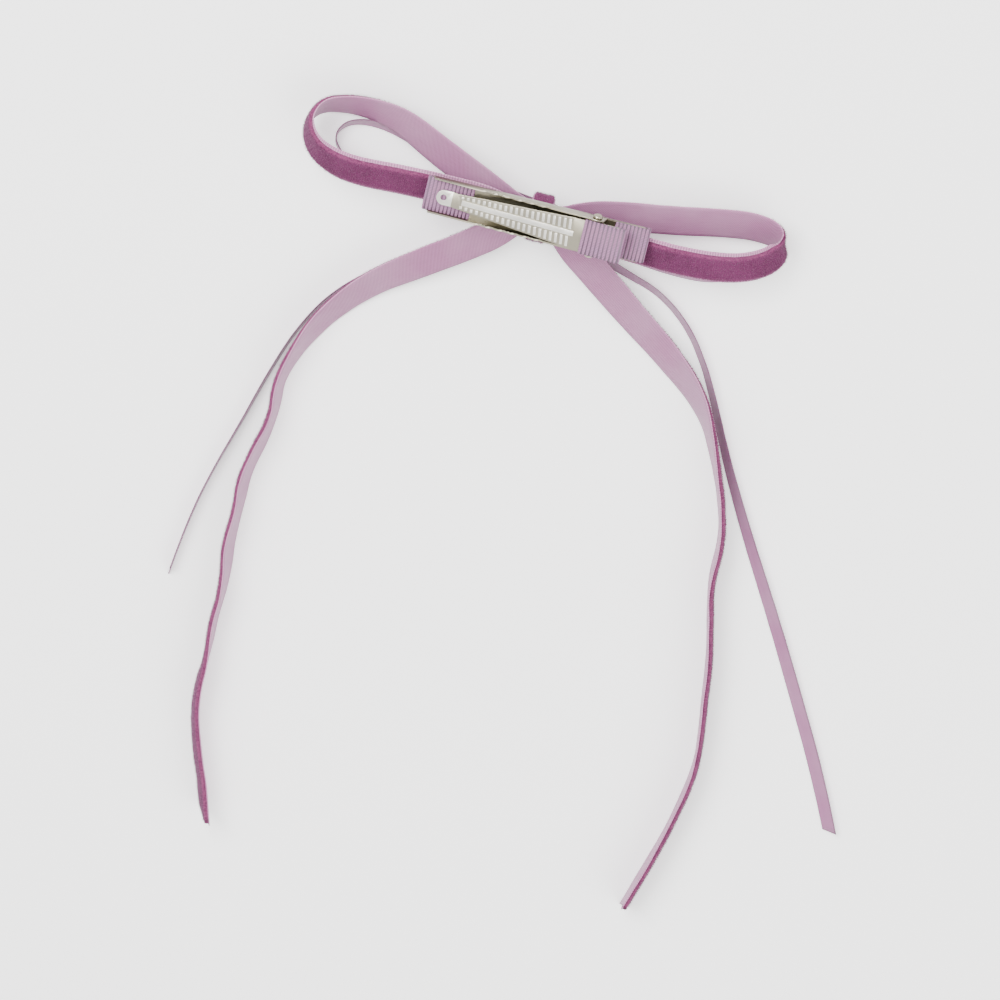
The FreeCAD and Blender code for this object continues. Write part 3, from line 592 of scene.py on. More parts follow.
def lay_copies(points, instance, rotation, material, scale=None):
    """Puts copies on points, makes them real and gives them a material."""
    inputs = {"Points": points, "Instance": instance, "Rotation": rotation}
    if scale:
        inputs["Scale"] = scale
    put = add_node(points.tree, "GeometryNodeInstanceOnPoints", inputs)
    real = add_node(points.tree, "GeometryNodeRealizeInstances", {0: out(put)})
    inputs = {"Geometry": out(real), "Material": material}
    return out(add_node(points.tree, "GeometryNodeSetMaterial", inputs))


def curve_object(name, kind, points):
    curve = bpy.data.curves.new(name, "CURVE")
    curve.dimensions = "3D"
    spline = curve.splines.new(kind)
    spline.points.add(len(points) - 1)
    for control, point in zip(spline.points, points):
        control.co = (*point, 1.0)
    return bpy.data.objects.new(name, curve)


def spline_points(points, steps):
    """Points along a smooth spline that is steered by the given points and has their first and last."""
    holder = curve_object("route", "NURBS", points)
    curve = holder.data
    curve.resolution_u = steps
    curve.splines[0].order_u = 3
    curve.splines[0].use_endpoint_u = True
    mesh = bpy.data.meshes.new_from_object(holder)
    line = [vert.co.copy() for vert in mesh.vertices]
    bpy.data.objects.remove(holder)
    bpy.data.curves.remove(curve)
    bpy.data.meshes.remove(mesh)
    return line


def runs_along(points):
    """For each point of a line, the line's direction there and how far along it is."""
    last, run = len(points) - 1, 0.0
    for i, point in enumerate(points):
        if i:
            run += (point - points[i - 1]).length
        yield (points[min(i + 1, last)] - points[max(i - 1, 0)]).normalized(), run


# one place along a ribbon: its middle, its directions, its width and how far along it is
Section = namedtuple("Section", "middle along across face width run")


def ribbon_sections(places, steps, side=1, loop_lean=None, face_sign=1):
    """Sections along a ribbon whose places are (point, lean in degrees, width)."""
    middles = spline_points([point for point, lean, width in places], steps)
    shapes = spline_points([(lean, width, 0.0) for point, lean, width in places], steps)
    sections = []
    for middle, shape, (along, run) in zip(middles, shapes, runs_along(middles)):
        angle = math.radians(shape.x)
        level = (loop_lean or Vector((along.y, -along.x, 0)) * side).normalized()
        across = Z_AXIS * math.cos(angle) + level * math.sin(angle)
        across = (across - along * across.dot(along)).normalized()
        sections.append(Section(middle, along, across, along.cross(across) * face_sign, shape.y, run))
    return sections


def strip_mesh(name, sections, outline, shift=None, end_slant=0.0):
    """A closed strip. outline(section) gives rows of a (across the ribbon), b (out of its face) and the
    material of the side that follows."""
    bm = bmesh.new()
    flat = bm.loops.layers.uv.new("ribbon")
    rings, spots = [], []
    for section in sections:
        slant = end_slant if section is sections[-1] else 0.0
        ring, rows = [], outline(section)
        for a, b, kind in rows:
            if shift:
                a, b = shift(section, a, b, kind)
            ring.append(bm.verts.new(section.middle + section.across * a + section.face * b
                                     + section.along * (a * slant)))
        rings.append(ring)
        spots.append([(section.run * UV_SCALE, a * UV_SCALE) for a, b, kind in rows])
    kinds = [kind for a, b, kind in outline(sections[0])]
    for i in range(len(rings) - 1):
        for j, kind in enumerate(kinds):
            k = (j + 1) % len(kinds)
            corners = ((i, j), (i, k), (i + 1, k), (i + 1, j))
            face = bm.faces.new([rings[p][q] for p, q in corners])
            face.material_index = kind
            face.smooth = True
            for loop, (p, q) in zip(face.loops, corners):
                loop[flat].uv = spots[p][q]
    for ring, spot in ((rings[0], spots[0]), (rings[-1], spots[-1])):
        for loop, uv in zip(bm.faces.new(ring).loops, spot):
            loop[flat].uv = uv
    bmesh.ops.recalc_face_normals(bm, faces=bm.faces)
    return finished_mesh(bm, name)


def circle_angles(count):
    return [math.tau * k / count for k in range(count)]


def bridge(bm, rings):
    """Faces between neighbouring rings of vertices, where a ring may be a single point."""
    for a, b in zip(rings, rings[1:]):
        count = max(len(a), len(b))
        for k in range(count):
            n = k + 1
            corners = [a[k % len(a)], a[n % len(a)], b[n % len(b)], b[k % len(b)]]
            bm.faces.new(list(dict.fromkeys(corners))).smooth = True


def tube_mesh(name, points, radius, sides):
    """A round tube along points, made by carrying a ring along without twist."""
    bm = bmesh.new()
    rings, normal = [], None
    for point, (along, run) in zip(points, runs_along(points)):
        normal = normal or along.orthogonal().normalized()
        normal = (normal - along * normal.dot(along)).normalized()
        side = along.cross(normal)
        rings.append([bm.verts.new(point + (normal * math.cos(t) + side * math.sin(t)) * radius)
                      for t in circle_angles(sides)])
    bridge(bm, rings)
    bm.faces.new(rings[0])
    bm.faces.new(rings[-1])
    bmesh.ops.recalc_face_normals(bm, faces=bm.faces)
    return finished_mesh(bm, name)


def lathe_mesh(name, centre, profile, sides=40):
    """A turned piece about the Y axis, from (radius, y) points that start and end on the axis."""
    bm = bmesh.new()
    rings = [[bm.verts.new(centre + Vector((radius * math.cos(t), y, radius * math.sin(t))))
              for t in (circle_angles(sides) if radius > 1e-7 else [0.0])] for radius, y in profile]
    bridge(bm, rings)
    bmesh.ops.recalc_face_normals(bm, faces=bm.faces)
    return finished_mesh(bm, name)


# ------------ the bow's routes
def knot_place(x, depth, slide, width):
    return KNOT + X_AXIS * x + DEPTH_AXIS * depth + WIDTH_AXIS * slide, BOW_LEAN, width


def velvet_end(way, layer):
    """The gathered end of a velvet strand, inside the knot and at its mouth."""
    depth = (2 - layer) * STRAND_PITCH
    return [knot_place(way * END_GAP, depth, 0, GATHERED_WIDTH),
            knot_place(way * (KNOT_HALF_LENGTH + MOUTH_RUN), depth, 0, GATHERED_WIDTH)]


def lying_places(rows, width, thickness):
    """Places of the rows of a route, each with its lower edge at the row's height."""
    places = []
    for x, y, lean, lift in rows:
        angle = math.radians(lean)
        z = FLOOR + lift * MM + width / 2 * math.cos(angle) + thickness / 2 * math.sin(angle)
        places.append((Vector((x * MM, y * MM, z)), lean, width))
    return places


# ------------ velvet ribbon
BACK, SELVAGE, PILE = 0, 1, 2
PLEAT_RUN = 9 * MM
PLEAT_DEPTH = 0.16 * MM
SQUEEZE_RUN = 14 * MM
TAIL_END_SLANT = 0.45
SELVAGE_BEAD = 0.09 * MM
PILE_SHOULDER = 0.1 * MM
PILE_TRIM = 0.06 * MM            # the pile's solid face stays this far under its full height
PILE_GRAIN_ALONG, PILE_GRAIN_ACROSS = 2200, 2600
RAGGED_EDGE, RAGGED_TOP = 0.16 * MM, 0.09 * MM
RIPPLE = 0.1 * MM


def velvet_outline(section, selvage_width, pile_height):
    """Outline of the ribbon's section: its woven back, both selvages and the pile between them."""
    sizes = bow_sizes()
    half = section.width / 2
    bottom = -sizes.velvet_thickness / 2
    woven_top = bottom + sizes.back_thickness
    top = woven_top + pile_height - PILE_TRIM
    bare = selvage_width * section.width / sizes.velvet_width
    bead = SELVAGE_BEAD
    back = [(half * (k / 5 - 1) * 0.98, bottom, BACK) for k in range(1, 10)]
    edge = [(half - bead / 2, bottom + bead / 3), (half, (bottom + woven_top) / 2),
            (half - bead / 2, woven_top - bead / 3), (half - bare * 0.4, woven_top - bead / 2),
            (half - bare, woven_top), (half - bare * 1.02, (woven_top + top) / 2),
            (half - bare * 1.15, top - PILE_SHOULDER)]
    right = [(a, b, SELVAGE if i < 4 else PILE) for i, (a, b) in enumerate(edge)]
    pile = [((half - bare * 1.4) * (1 - k / 4), top, PILE) for k in range(9)]
    left_kinds = (PILE, PILE, SELVAGE, SELVAGE, SELVAGE, SELVAGE, BACK)
    left = [(-a, b, kind) for (a, b), kind in zip(reversed(edge), left_kinds)]
    return back + right + pile + left


def pile_spot(section, a, seed):
    return Vector((section.run * PILE_GRAIN_ALONG, a * PILE_GRAIN_ACROSS, seed))


def velvet_shift(strand_length, seed):
    """Pleats by the knot, and the ragged edge and top of the pile."""
    def shift(section, a, b, kind):
        from_knot = min(section.run, strand_length - section.run) if strand_length else section.run
        pleats = PLEAT_DEPTH * math.exp(-from_knot / PLEAT_RUN) * math.cos(a / section.width * 3 * math.tau)
        spot = pile_spot(section, a, seed)
        if kind == PILE and b > -0.2 * MM:
            if abs(a) > section.width * 0.3:
                a += noise.noise(spot) * RAGGED_EDGE
            b += noise.noise(spot + X_AXIS * 40) * RAGGED_TOP
        ripple = noise.noise(Vector((section.run * 160, a * 90, seed + 7))) * RIPPLE
        return a, b + pleats + ripple
    return shift


def tuft_group():
    """Scatters short tapered tufts over the faces that a mask names, and gives them a material."""
    def fill(mesh, density, length, base_radius, seed, material):
        tree = mesh.tree
        mask = add_node(tree, "GeometryNodeInputNamedAttribute", {"Name": "pile"}, data_type="BOOLEAN")
        spread = add_node(tree, "GeometryNodeDistributePointsOnFaces",
                          {"Mesh": mesh, "Selection": out(mask, "Attribute"),
                           "Density": density, "Seed": seed})
        cone = add_node(tree, "GeometryNodeMeshCone", {"Vertices": 3, "Radius Top": 0.0,
                                                       "Radius Bottom": base_radius, "Depth": length})
        cone.fill_type = "NONE"
        turn = add_node(tree, "FunctionNodeRandomValue", data_type="FLOAT_VECTOR")
        feed(turn.inputs[0], (-0.5, -0.5, -3.14))
        feed(turn.inputs[1], (0.5, 0.5, 3.14))
        lean = add_node(tree, "FunctionNodeRotateRotation", {0: out(spread, "Rotation"), 1: out(turn)},
                        rotation_space="LOCAL")
        size = add_node(tree, "FunctionNodeRandomValue", {2: 0.55, 3: 1.15}, data_type="FLOAT")
        return [lay_copies(out(spread, "Points"), out(cone, "Mesh"), out(lean), material, out(size, 1))]

    return node_group(
        "pile tufts", "GeometryNodeTree",
        [("Geometry", "Geometry", None), ("Density", "Float", 1.4e7), ("Length", "Float", 0.4 * MM),
         ("Base Radius", "Float", 0.045 * MM), ("Seed", "Int", 1), ("Material", "Material", None)],
        [("Geometry", "Geometry")], fill)


def add_tufts(ribbon, seed):
    """A piece of loose tufts over the pile of a velvet piece."""
    per_square_metre = 1e6
    mask = ribbon.data.attributes.new("pile", "BOOLEAN", "FACE")
    mask.data.foreach_set("value", [polygon.material_index == PILE for polygon in ribbon.data.polygons])
    mesh = nodes_applied(linked_object("tufts", ribbon.data), tuft_group(), {
        "Density": bow_sizes().pile_density * per_square_metre, "Length": bow_sizes().tuft_length,
        "Seed": seed, "Material": pile_tips()})
    smooth_shade(mesh)
    return new_piece(ribbon.name + "_pile", mesh, [], "velvet")


def velvet_piece(name, mesh, node, seed):
    """A velvet piece and the tufts of its pile."""
    ribbon = new_piece(name, mesh, [velvet_back(), selvage(), velvet_pile()], "velvet", CLIP, node)
    return ribbon, add_tufts(ribbon, seed)


def make_velvet(name, node, places, seed, both_ends, end_slant=0.0, **lean):
    """A velvet ribbon, gathered in the knot."""
    sections = ribbon_sections(places, 30, **lean)
    length = sections[-1].run
    sizes = bow_sizes()
    bare = sizes.loop_selvage if both_ends else sizes.tail_selvage

    def outline(section):
        # the knot squeezes the pile flat
        from_knot = min(section.run, length - section.run) if both_ends else section.run
        squeeze = min(1.0, 0.4 + from_knot / SQUEEZE_RUN)
        return velvet_outline(section, bare, sizes.pile_height * squeeze)

    shift = velvet_shift(length if both_ends else 0.0, seed)
    ribbon, tufts = velvet_piece(name, strip_mesh(name, sections, outline, shift, end_slant), node, seed)


class BARRETTE_OT_velvet_bow(bpy.types.Operator):
    """Make the two loops and two long tails of velvet ribbon"""
    bl_idname = "barrette.velvet_bow"
    bl_label = "Velvet Loops and Tails"

    def execute(self, context):
        sizes = bow_sizes()
        width, thickness = sizes.velvet_width, sizes.velvet_thickness
        for side, way, rows, rear_layer, flare in (("left", -1, VELVET_LOOP_LEFT, 0, LEFT_FLARE),
                                                   ("right", 1, VELVET_LOOP_RIGHT, 1, RIGHT_FLARE)):
            places = (velvet_end(way, rear_layer) + lying_places(rows, width, thickness)
                      + velvet_end(way, FRONT_LAYER)[::-1])
            make_velvet("bow_loop_" + side, "velvet_loop_" + side, places, 3 + way, True,
                        loop_lean=Vector((-way * flare, 1, 0)), face_sign=way)
        for side, way, rows in (("left", -1, VELVET_TAIL_LEFT), ("right", 1, VELVET_TAIL_RIGHT)):
            places = velvet_end(way, TAIL_LAYER) + lying_places(rows, width, thickness)
            make_velvet("bow_tail_" + side, "velvet_tail_" + side, places, 11 + way, False,
                        end_slant=-TAIL_END_SLANT * way, side=-way, face_sign=-way)
        return {"FINISHED"}


# ------------ narrow satin ribbon
FACE, EDGE = 0, 1
EDGE_CORD = 0.22 * MM
SATIN_RIPPLE = 0.05 * MM
LEFT_SATIN_LENGTH, RIGHT_SATIN_LENGTH = 0.146, 0.190
LEFT_SATIN_SLANT, RIGHT_SATIN_SLANT = -0.9, 0.35


def satin_outline(section):
    """Outline of the narrow ribbon's section, with a fine corded edge along each side."""
    half, thick = section.width / 2, bow_sizes().satin_thickness / 2
    flat = half - EDGE_CORD * 1.6
    back = [(flat * (k / 4 - 1), -thick * 0.62, EDGE if k == 8 else FACE) for k in range(9)]
    right = [(half - EDGE_CORD, -thick, EDGE), (half - EDGE_CORD * 0.25, -thick * 0.6, EDGE),
             (half, 0.0, EDGE), (half - EDGE_CORD * 0.25, thick * 0.6, EDGE),
             (half - EDGE_CORD, thick, FACE)]
    return [(a * turn, b * turn, kind) for turn in (1, -1) for a, b, kind in back + right]


def make_satin(name, places, seed, end_slant=0.0, **lean):
    """A narrow ribbon for the named CAD node. Returns it and its middle line."""
    def shift(section, a, b, kind):
        return a, b + noise.noise(Vector((section.run * 240, a * 60, seed))) * SATIN_RIPPLE

    sections = ribbon_sections(places, 20, **lean)
    mesh = strip_mesh(name, sections, satin_outline, shift, end_slant)
    ribbon = new_piece(name + "_ribbon", mesh, [narrow_satin(), satin_edge()], "satin", CLIP, name)
    return ribbon, [section.middle for section in sections]


class BARRETTE_OT_satin_tails(bpy.types.Operator):
    """Make the two free tails of narrow satin ribbon"""
    bl_idname = "barrette.satin_tails"
    bl_label = "Satin Tails"

    def execute(self, context):
        width, thickness = bow_sizes().satin_width, bow_sizes().satin_thickness
        for side, way, rows, length, slant in (
                ("left", -1, SATIN_TAIL_LEFT, LEFT_SATIN_LENGTH, LEFT_SATIN_SLANT),
                ("right", 1, SATIN_TAIL_RIGHT, RIGHT_SATIN_LENGTH, RIGHT_SATIN_SLANT)):
            places = [knot_place(way * x, SATIN_FRONT_DEPTH, -SATIN_SLIDE, width)
                      for x in (SATIN_END_GAP, KNOT_HALF_LENGTH + SATIN_MOUTH_RUN)]
            mouth = places[1][0]
            ribbon, line = make_satin("satin_tail_" + side, places + lying_places(rows, width, thickness),
                                      21 + way, end_slant=slant, side=-way, face_sign=-way)
            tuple(mouth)
            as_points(line)
        return {"FINISHED"}


class BARRETTE_OT_satin_loops(bpy.types.Operator):
    """Make the two loops of narrow satin ribbon"""
    bl_idname = "barrette.satin_loops"
    bl_label = "Satin Loops"

    def execute(self, context):
        width, thickness = bow_sizes().satin_width, bow_sizes().satin_thickness
        for side, way, rows in (("left", -1, SATIN_LOOP_LEFT), ("right", 1, SATIN_LOOP_RIGHT)):
            x = way * SATIN_END_GAP
            places = ([knot_place(x, SATIN_REAR_DEPTH, 0, width)] + lying_places(rows, width, thickness)
                      + [knot_place(x, SATIN_FRONT_DEPTH, SATIN_SLIDE, width)])
            make_satin("satin_loop_" + side, places, 31 + way, loop_lean=Y_AXIS, face_sign=way)
        return {"FINISHED"}


# ------------ knot, thread and glue
BAND_WALL = 0.8 * MM
BAND_CORNER = 2.2 * MM
BAND_HALF_WIDTH = 5.7 * MM
BAND_HALF_DEPTH = 4.2 * MM
BAND_LAP = 2.2 * MM
BAND_LAP_DROP = 0.35 * MM
BAND_STEP = 0.5 * MM
BAND_PILE_HEIGHT = 0.7 * MM
BAND_RAGGED_TOP = 0.08 * MM
BAND_FOLD = 0.12 * MM
BAND_SINK = 0.06 * MM
BAND_WAIST_RUN = 9 * MM
THREAD_RADIUS = 0.2 * MM
THREAD_GAP = 0.12 * MM
THREAD_WANDER = 0.05 * MM


def band_route(inset, lap, steps=9):
    """Points and outward directions round the knot, starting and ending under it with a lap."""
    w, d, r = BAND_HALF_WIDTH - inset, BAND_HALF_DEPTH - inset, BAND_CORNER - inset
    spots = [((-lap, -d), (0, -1))]
    for cx, cy, first in ((w - r, r - d, -90), (w - r, d - r, 0), (r - w, d - r, 90), (r - w, r - d, 180)):
        for k in range(steps):
            angle = math.radians(first + 90 * k / (steps - 1))
            outward = (math.cos(angle), math.sin(angle))
            spots.append(((cx + r * outward[0], cy + r * outward[1]), outward))
    spots.append(((lap, -d - BAND_LAP_DROP), (0, -1)))
    return [(WIDTH_AXIS * a + DEPTH_AXIS * b, WIDTH_AXIS * u + DEPTH_AXIS * v) for (a, b), (u, v) in spots]


class BARRETTE_OT_knot(bpy.types.Operator):
    """Make the velvet band round the middle of the bow"""
    bl_idname = "barrette.knot"
    bl_label = "Knot Band"

    def execute(self, context):
        sizes = bow_sizes()
        route = band_route(BAND_WALL / 2, BAND_LAP)
        fine = []
        for (p, n), (q, m) in zip(route, route[1:]):
            cuts = max(1, round((q - p).length / BAND_STEP))
            fine += [(p.lerp(q, k / cuts), n.lerp(m, k / cuts).normalized()) for k in range(cuts)]
        fine.append(route[-1])
        sections = []
        for (point, outward), (along, run) in zip(fine, runs_along([point for point, outward in fine])):
            width = 2 * KNOT_HALF_LENGTH * (0.95 + 0.05 * math.cos(run / BAND_WAIST_RUN * math.tau))
            sections.append(Section(KNOT + point, along, X_AXIS, outward, width, run))

        def outline(section):
            squeeze = BAND_WALL / sizes.velvet_thickness
            return [(a, b * squeeze, kind)
                    for a, b, kind in velvet_outline(section, sizes.tail_selvage, BAND_PILE_HEIGHT)]

        def shift(section, a, b, kind):
            if kind == PILE:
                b += noise.noise(pile_spot(section, a, 5)) * BAND_RAGGED_TOP
            fold = BAND_FOLD * math.cos(a / section.width * 2 * math.tau + section.run * 300)
            return a, b + fold * 0.6 - BAND_SINK

        velvet_piece("knot_band", strip_mesh("knot_band", sections, outline, shift), "velvet_knot_band", 8)
        return {"FINISHED"}


class BARRETTE_OT_binding(bpy.types.Operator):
    """Make the thread turns under the knot band, and the glue that holds the bow to the clip"""
    bl_idname = "barrette.binding"
    bl_label = "Thread and Glue"

    turns: IntProperty(name="Turns", description="Turns of thread under the band", default=5, min=1)

    def execute(self, context):
        low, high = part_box("binding_thread")
        ring = [point for point, outward in band_route(BAND_WALL + THREAD_GAP + THREAD_RADIUS, 0.0)[1:-1]]
        count = len(ring)
        pitch = (high.x - low.x - 2 * THREAD_RADIUS) / (self.turns - 1)
        first = low.x + THREAD_RADIUS - KNOT.x
        points = []
        for i in range(count * self.turns - count // 2):
            wander = THREAD_WANDER * noise.noise(Vector((i * 0.31, 2.0, 1.0)))
            points.append(KNOT + ring[i % count] + X_AXIS * (first + pitch * i / count + wander))
        new_piece("binding_thread_turns", tube_mesh("thread", points, THREAD_RADIUS, 10), [binding_thread()],
                  "thread", CLIP, "binding_thread")
        self.make_glue()
        return {"FINISHED"}

    def make_glue(self):
        """A squarish lump that fills the box of the CAD pad."""
        low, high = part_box("bow_glue_pad")
        middle, half = (low + high) / 2, (high - low) / 2
        bm = bmesh.new()
        bmesh.ops.create_icosphere(bm, subdivisions=5, radius=1.0)
        for vert in bm.verts:
            spot = vert.co.normalized()
            square = max(abs(part) for part in spot) ** 0.75
            lump = 1 + 0.05 * noise.noise(spot * 2.5)
            vert.co = middle + Vector(part * h / square * 0.93 * lump for part, h in zip(spot, half))
        mesh = finished_mesh(bm, "glue")
        smooth_shade(mesh)
        new_piece("glue_pad", mesh, [hot_melt_glue()], "glue", CLIP, "bow_glue_pad")
        film_materials = frame["nodes"]["lining_glue_film"].data.materials
        film_materials.clear()
        film_materials.append(hot_melt_glue())


# ------------ grosgrain on the clip
LINING_INNER_X = -17.3 * MM
WRAP_INNER_X = 19.6 * MM
JAW_STEP_X, JAW_STEP_LENGTH, JAW_STEP_RISE = -22.0 * MM, 1.2 * MM, 0.45 * MM
JAW_SLOPE = math.radians(5.2)
JAW_SHEET = 0.45 * MM
JAW_END_X = 21.6 * MM
COVER_INNER_X = 19.4 * MM
LAYER_GAP = 0.03 * MM
RIB_GRAIN = 0.1 * MM
CORE_SHARE = 0.28
RIB_ROUNDNESS, RIB_END_ROUNDNESS = 0.35, 0.3
RIB_PITCH_SHARE = 0.455


def jaw_middle_z(x):
    """Height of the middle of the toothed jaw's sheet at x, past its step."""
    return JAW_STEP_RISE + (x - JAW_STEP_X - JAW_STEP_LENGTH) * math.tan(JAW_SLOPE)


def arc_points(centre, radius, first, last, steps=12):
    return [centre + Vector((math.cos(t), 0, math.sin(t))) * radius
            for t in (math.radians(first + (last - first) * k / steps) for k in range(steps + 1))]


def far_jaw_line(node, way, inner_x):
    """Middle line of a ribbon that is folded round the end of the far jaw on the way side."""
    low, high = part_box(node)
    thick = clip_sizes().grosgrain_thickness
    radius = (high.z - low.z - thick) / 2
    tip, end = (high.x, low.x) if way > 0 else (low.x, high.x)
    centre = Vector((tip - way * (radius + thick / 2), 0, (low.z + high.z) / 2))
    turn = arc_points(centre, radius, 90, 90 - 180 * way)
    return [Vector((inner_x, 0, turn[0].z))] + turn + [Vector((end, 0, turn[-1].z))]


def cover_line():
    """Middle line of the ribbon folded round the near lever's end."""
    low_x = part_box("lever_cover_ribbon")[0].x
    offset = JAW_SHEET / 2 + LAYER_GAP + clip_sizes().grosgrain_thickness / 2
    end = Vector((JAW_END_X, 0, jaw_middle_z(JAW_END_X)))
    start = Vector((low_x, 0, jaw_middle_z(low_x) + offset))
    inner_run = COVER_INNER_X - JAW_END_X
    inner = end + Vector((inner_run, 0, inner_run * math.tan(JAW_SLOPE) - offset))
    return [start] + arc_points(end, offset, 90, -90) + [inner]


def rib_group():
    """Lays rounded ribs across a strip, one each pitch along its middle line."""
    def fill(line, pitch, width, thickness, material):
        tree = line.tree
        spaced = add_node(tree, "GeometryNodeResampleCurve")
        if "Mode" in spaced.inputs:
            feed(spaced.inputs["Mode"], "Length")
        else:
            spaced.mode = "LENGTH"
        feed(spaced.inputs["Curve"], line)
        feed(spaced.inputs["Length"], pitch)
        ball = add_node(tree, "GeometryNodeMeshUVSphere", {"Segments": 10, "Rings": 12, "Radius": 1.0})
        x, y, z = split(out(add_node(tree, "GeometryNodeInputPosition")))
        # squares the ends off, so that a rib keeps its section nearly to the ribbon's edge
        girth = (abs(z) ** 2.0 * -1.0 + 1.0001).math("SQRT")
        keep = girth ** RIB_ROUNDNESS / girth
        shape = add_node(tree, "ShaderNodeCombineXYZ", {
            0: x * keep * (pitch * RIB_PITCH_SHARE),
            1: abs(z) ** RIB_END_ROUNDNESS * z.math("SIGN") * (width * 0.5),
            2: y * keep * (thickness * 0.5)})
        rib = add_node(tree, "GeometryNodeSetPosition",
                       {"Geometry": out(ball, "Mesh"), "Position": out(shape)})
        turn = add_node(tree, "FunctionNodeAlignRotationToVector",
                        {"Vector": out(add_node(tree, "GeometryNodeInputTangent"))}, axis="X", pivot_axis="Y")
        return [lay_copies(out(spaced), out(rib), out(turn), material)]

    return node_group(
        "grosgrain ribs", "GeometryNodeTree",
        [("Geometry", "Geometry", None), ("Pitch", "Float", 0.95 * MM), ("Width", "Float", 9 * MM),
         ("Thickness", "Float", 0.4 * MM), ("Material", "Material", None)],
        [("Geometry", "Geometry")], fill)


def make_grosgrain(name, node, body, line):
    """A ribbed ribbon along a middle line in the XZ plane: a thin core with ribs on both faces."""
    low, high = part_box(node)
    width, thickness = high.y - low.y, clip_sizes().grosgrain_thickness
    holder = curve_object(name, "POLY", line)
    bpy.context.scene.collection.objects.link(holder)
    ribs = nodes_applied(holder, rib_group(), {
        "Pitch": clip_sizes().rib_pitch, "Width": width, "Thickness": thickness,
        "Material": ribbed_grosgrain()})
    sections = [Section(point, along, Y_AXIS, along.cross(Y_AXIS), width, run)
                for point, (along, run) in zip(line, runs_along(line))]
    half, thin = width / 2 - RIB_GRAIN, thickness * CORE_SHARE
    corners = [(-half, -thin, 0), (half, -thin, 0), (half, thin, 0), (-half, thin, 0)]
    bm = bmesh.new()
    bm.from_mesh(strip_mesh(name, sections, lambda section: corners))
    core = set(bm.faces)
    bm.from_mesh(ribs)
    # the core takes the second material, darkened as painted shade between the ribs
    for face in bm.faces:
        face.material_index = 1 if face in core else 0
    mesh = finished_mesh(bm, name)
    smooth_shade(mesh)
    new_piece(name, mesh, [ribbed_grosgrain(), grosgrain_core_shade()], "grosgrain", body, node)


class BARRETTE_OT_grosgrain(bpy.types.Operator):
    """Make the ribbed ribbons that line the jaw and cover the two levers"""
    bl_idname = "barrette.grosgrain"
    bl_label = "Grosgrain Lining and Covers"

    def execute(self, context):
        for name, node, way, inner_x in (("lining_ribbon", "jaw_lining_ribbon", -1, LINING_INNER_X),
                                         ("far_lever_ribbon", "lever_wrap_ribbon", 1, WRAP_INNER_X)):
            make_grosgrain(name, node, CLIP, far_jaw_line(node, way, inner_x))
        make_grosgrain("near_lever_ribbon", "lever_cover_ribbon", JAW, cover_line())
        return {"FINISHED"}


# ------------ steel clip
MERGE_DISTANCE = 0.002 * MM
FLAT_ANGLE = math.radians(0.6)
EDGE_ANGLE = math.radians(35)


def rounded_copy(node, name, material, slot, body):
    """A copy of a pressed steel node with its edges rounded."""
    bm = bmesh.new()
    bm.from_mesh(frame["nodes"][node].data)
    bmesh.ops.remove_doubles(bm, verts=bm.verts, dist=MERGE_DISTANCE)
    bmesh.ops.dissolve_limit(bm, angle_limit=FLAT_ANGLE, verts=bm.verts, edges=bm.edges)
    for face in bm.faces:
        face.smooth = True
        face.material_index = 0
    piece = new_piece(name, finished_mesh(bm, name), [material], slot, body, node)
    bevel = piece.modifiers.new("edges", "BEVEL")
    bevel.limit_method = "ANGLE"
    bevel.angle_limit = EDGE_ANGLE
    bevel.width = clip_sizes().edge_round
    bevel.segments = 3
    bevel.use_clamp_overlap = True
    bevel.harden_normals = True
    piece.data = applied(piece)


class BARRETTE_OT_jaws(bpy.types.Operator):
    """Make the two pressed steel jaws"""
    bl_idname = "barrette.jaws"
    bl_label = "Steel Jaws"

    def execute(self, context):
        rounded_copy("base_jaw", "far_jaw_channel", nickel_plate(), "plated_steel", CLIP)
        rounded_copy("toothed_jaw", "near_jaw_plate", bright_nickel_plate(), "bright_steel", JAW)
        return {"FINISHED"}


PIN_RADIUS = 0.8 * MM
RIVET_ROUND = 0.05 * MM
WIRE_RADIUS = 0.3 * MM
WIRE_SIDES = 12
COIL_RADIUS = 1.25 * MM
COIL_PITCH = 0.58 * MM
COIL_GAP = 0.07 * MM
LEG_START_X = 1.2 * MM
LEG_END_X = 19.0 * MM
LEG_SEAT_GAP = 0.04 * MM
WEB_TOP = -0.75 * MM
TURN_STEPS = 28


def turn_point(turns, y):
    """A point on the spring, so many turns on from its lowest point."""
    angle = -math.pi / 2 - turns * math.tau
    return HINGE + Vector((COIL_RADIUS * math.cos(angle), y, COIL_RADIUS * math.sin(angle)))


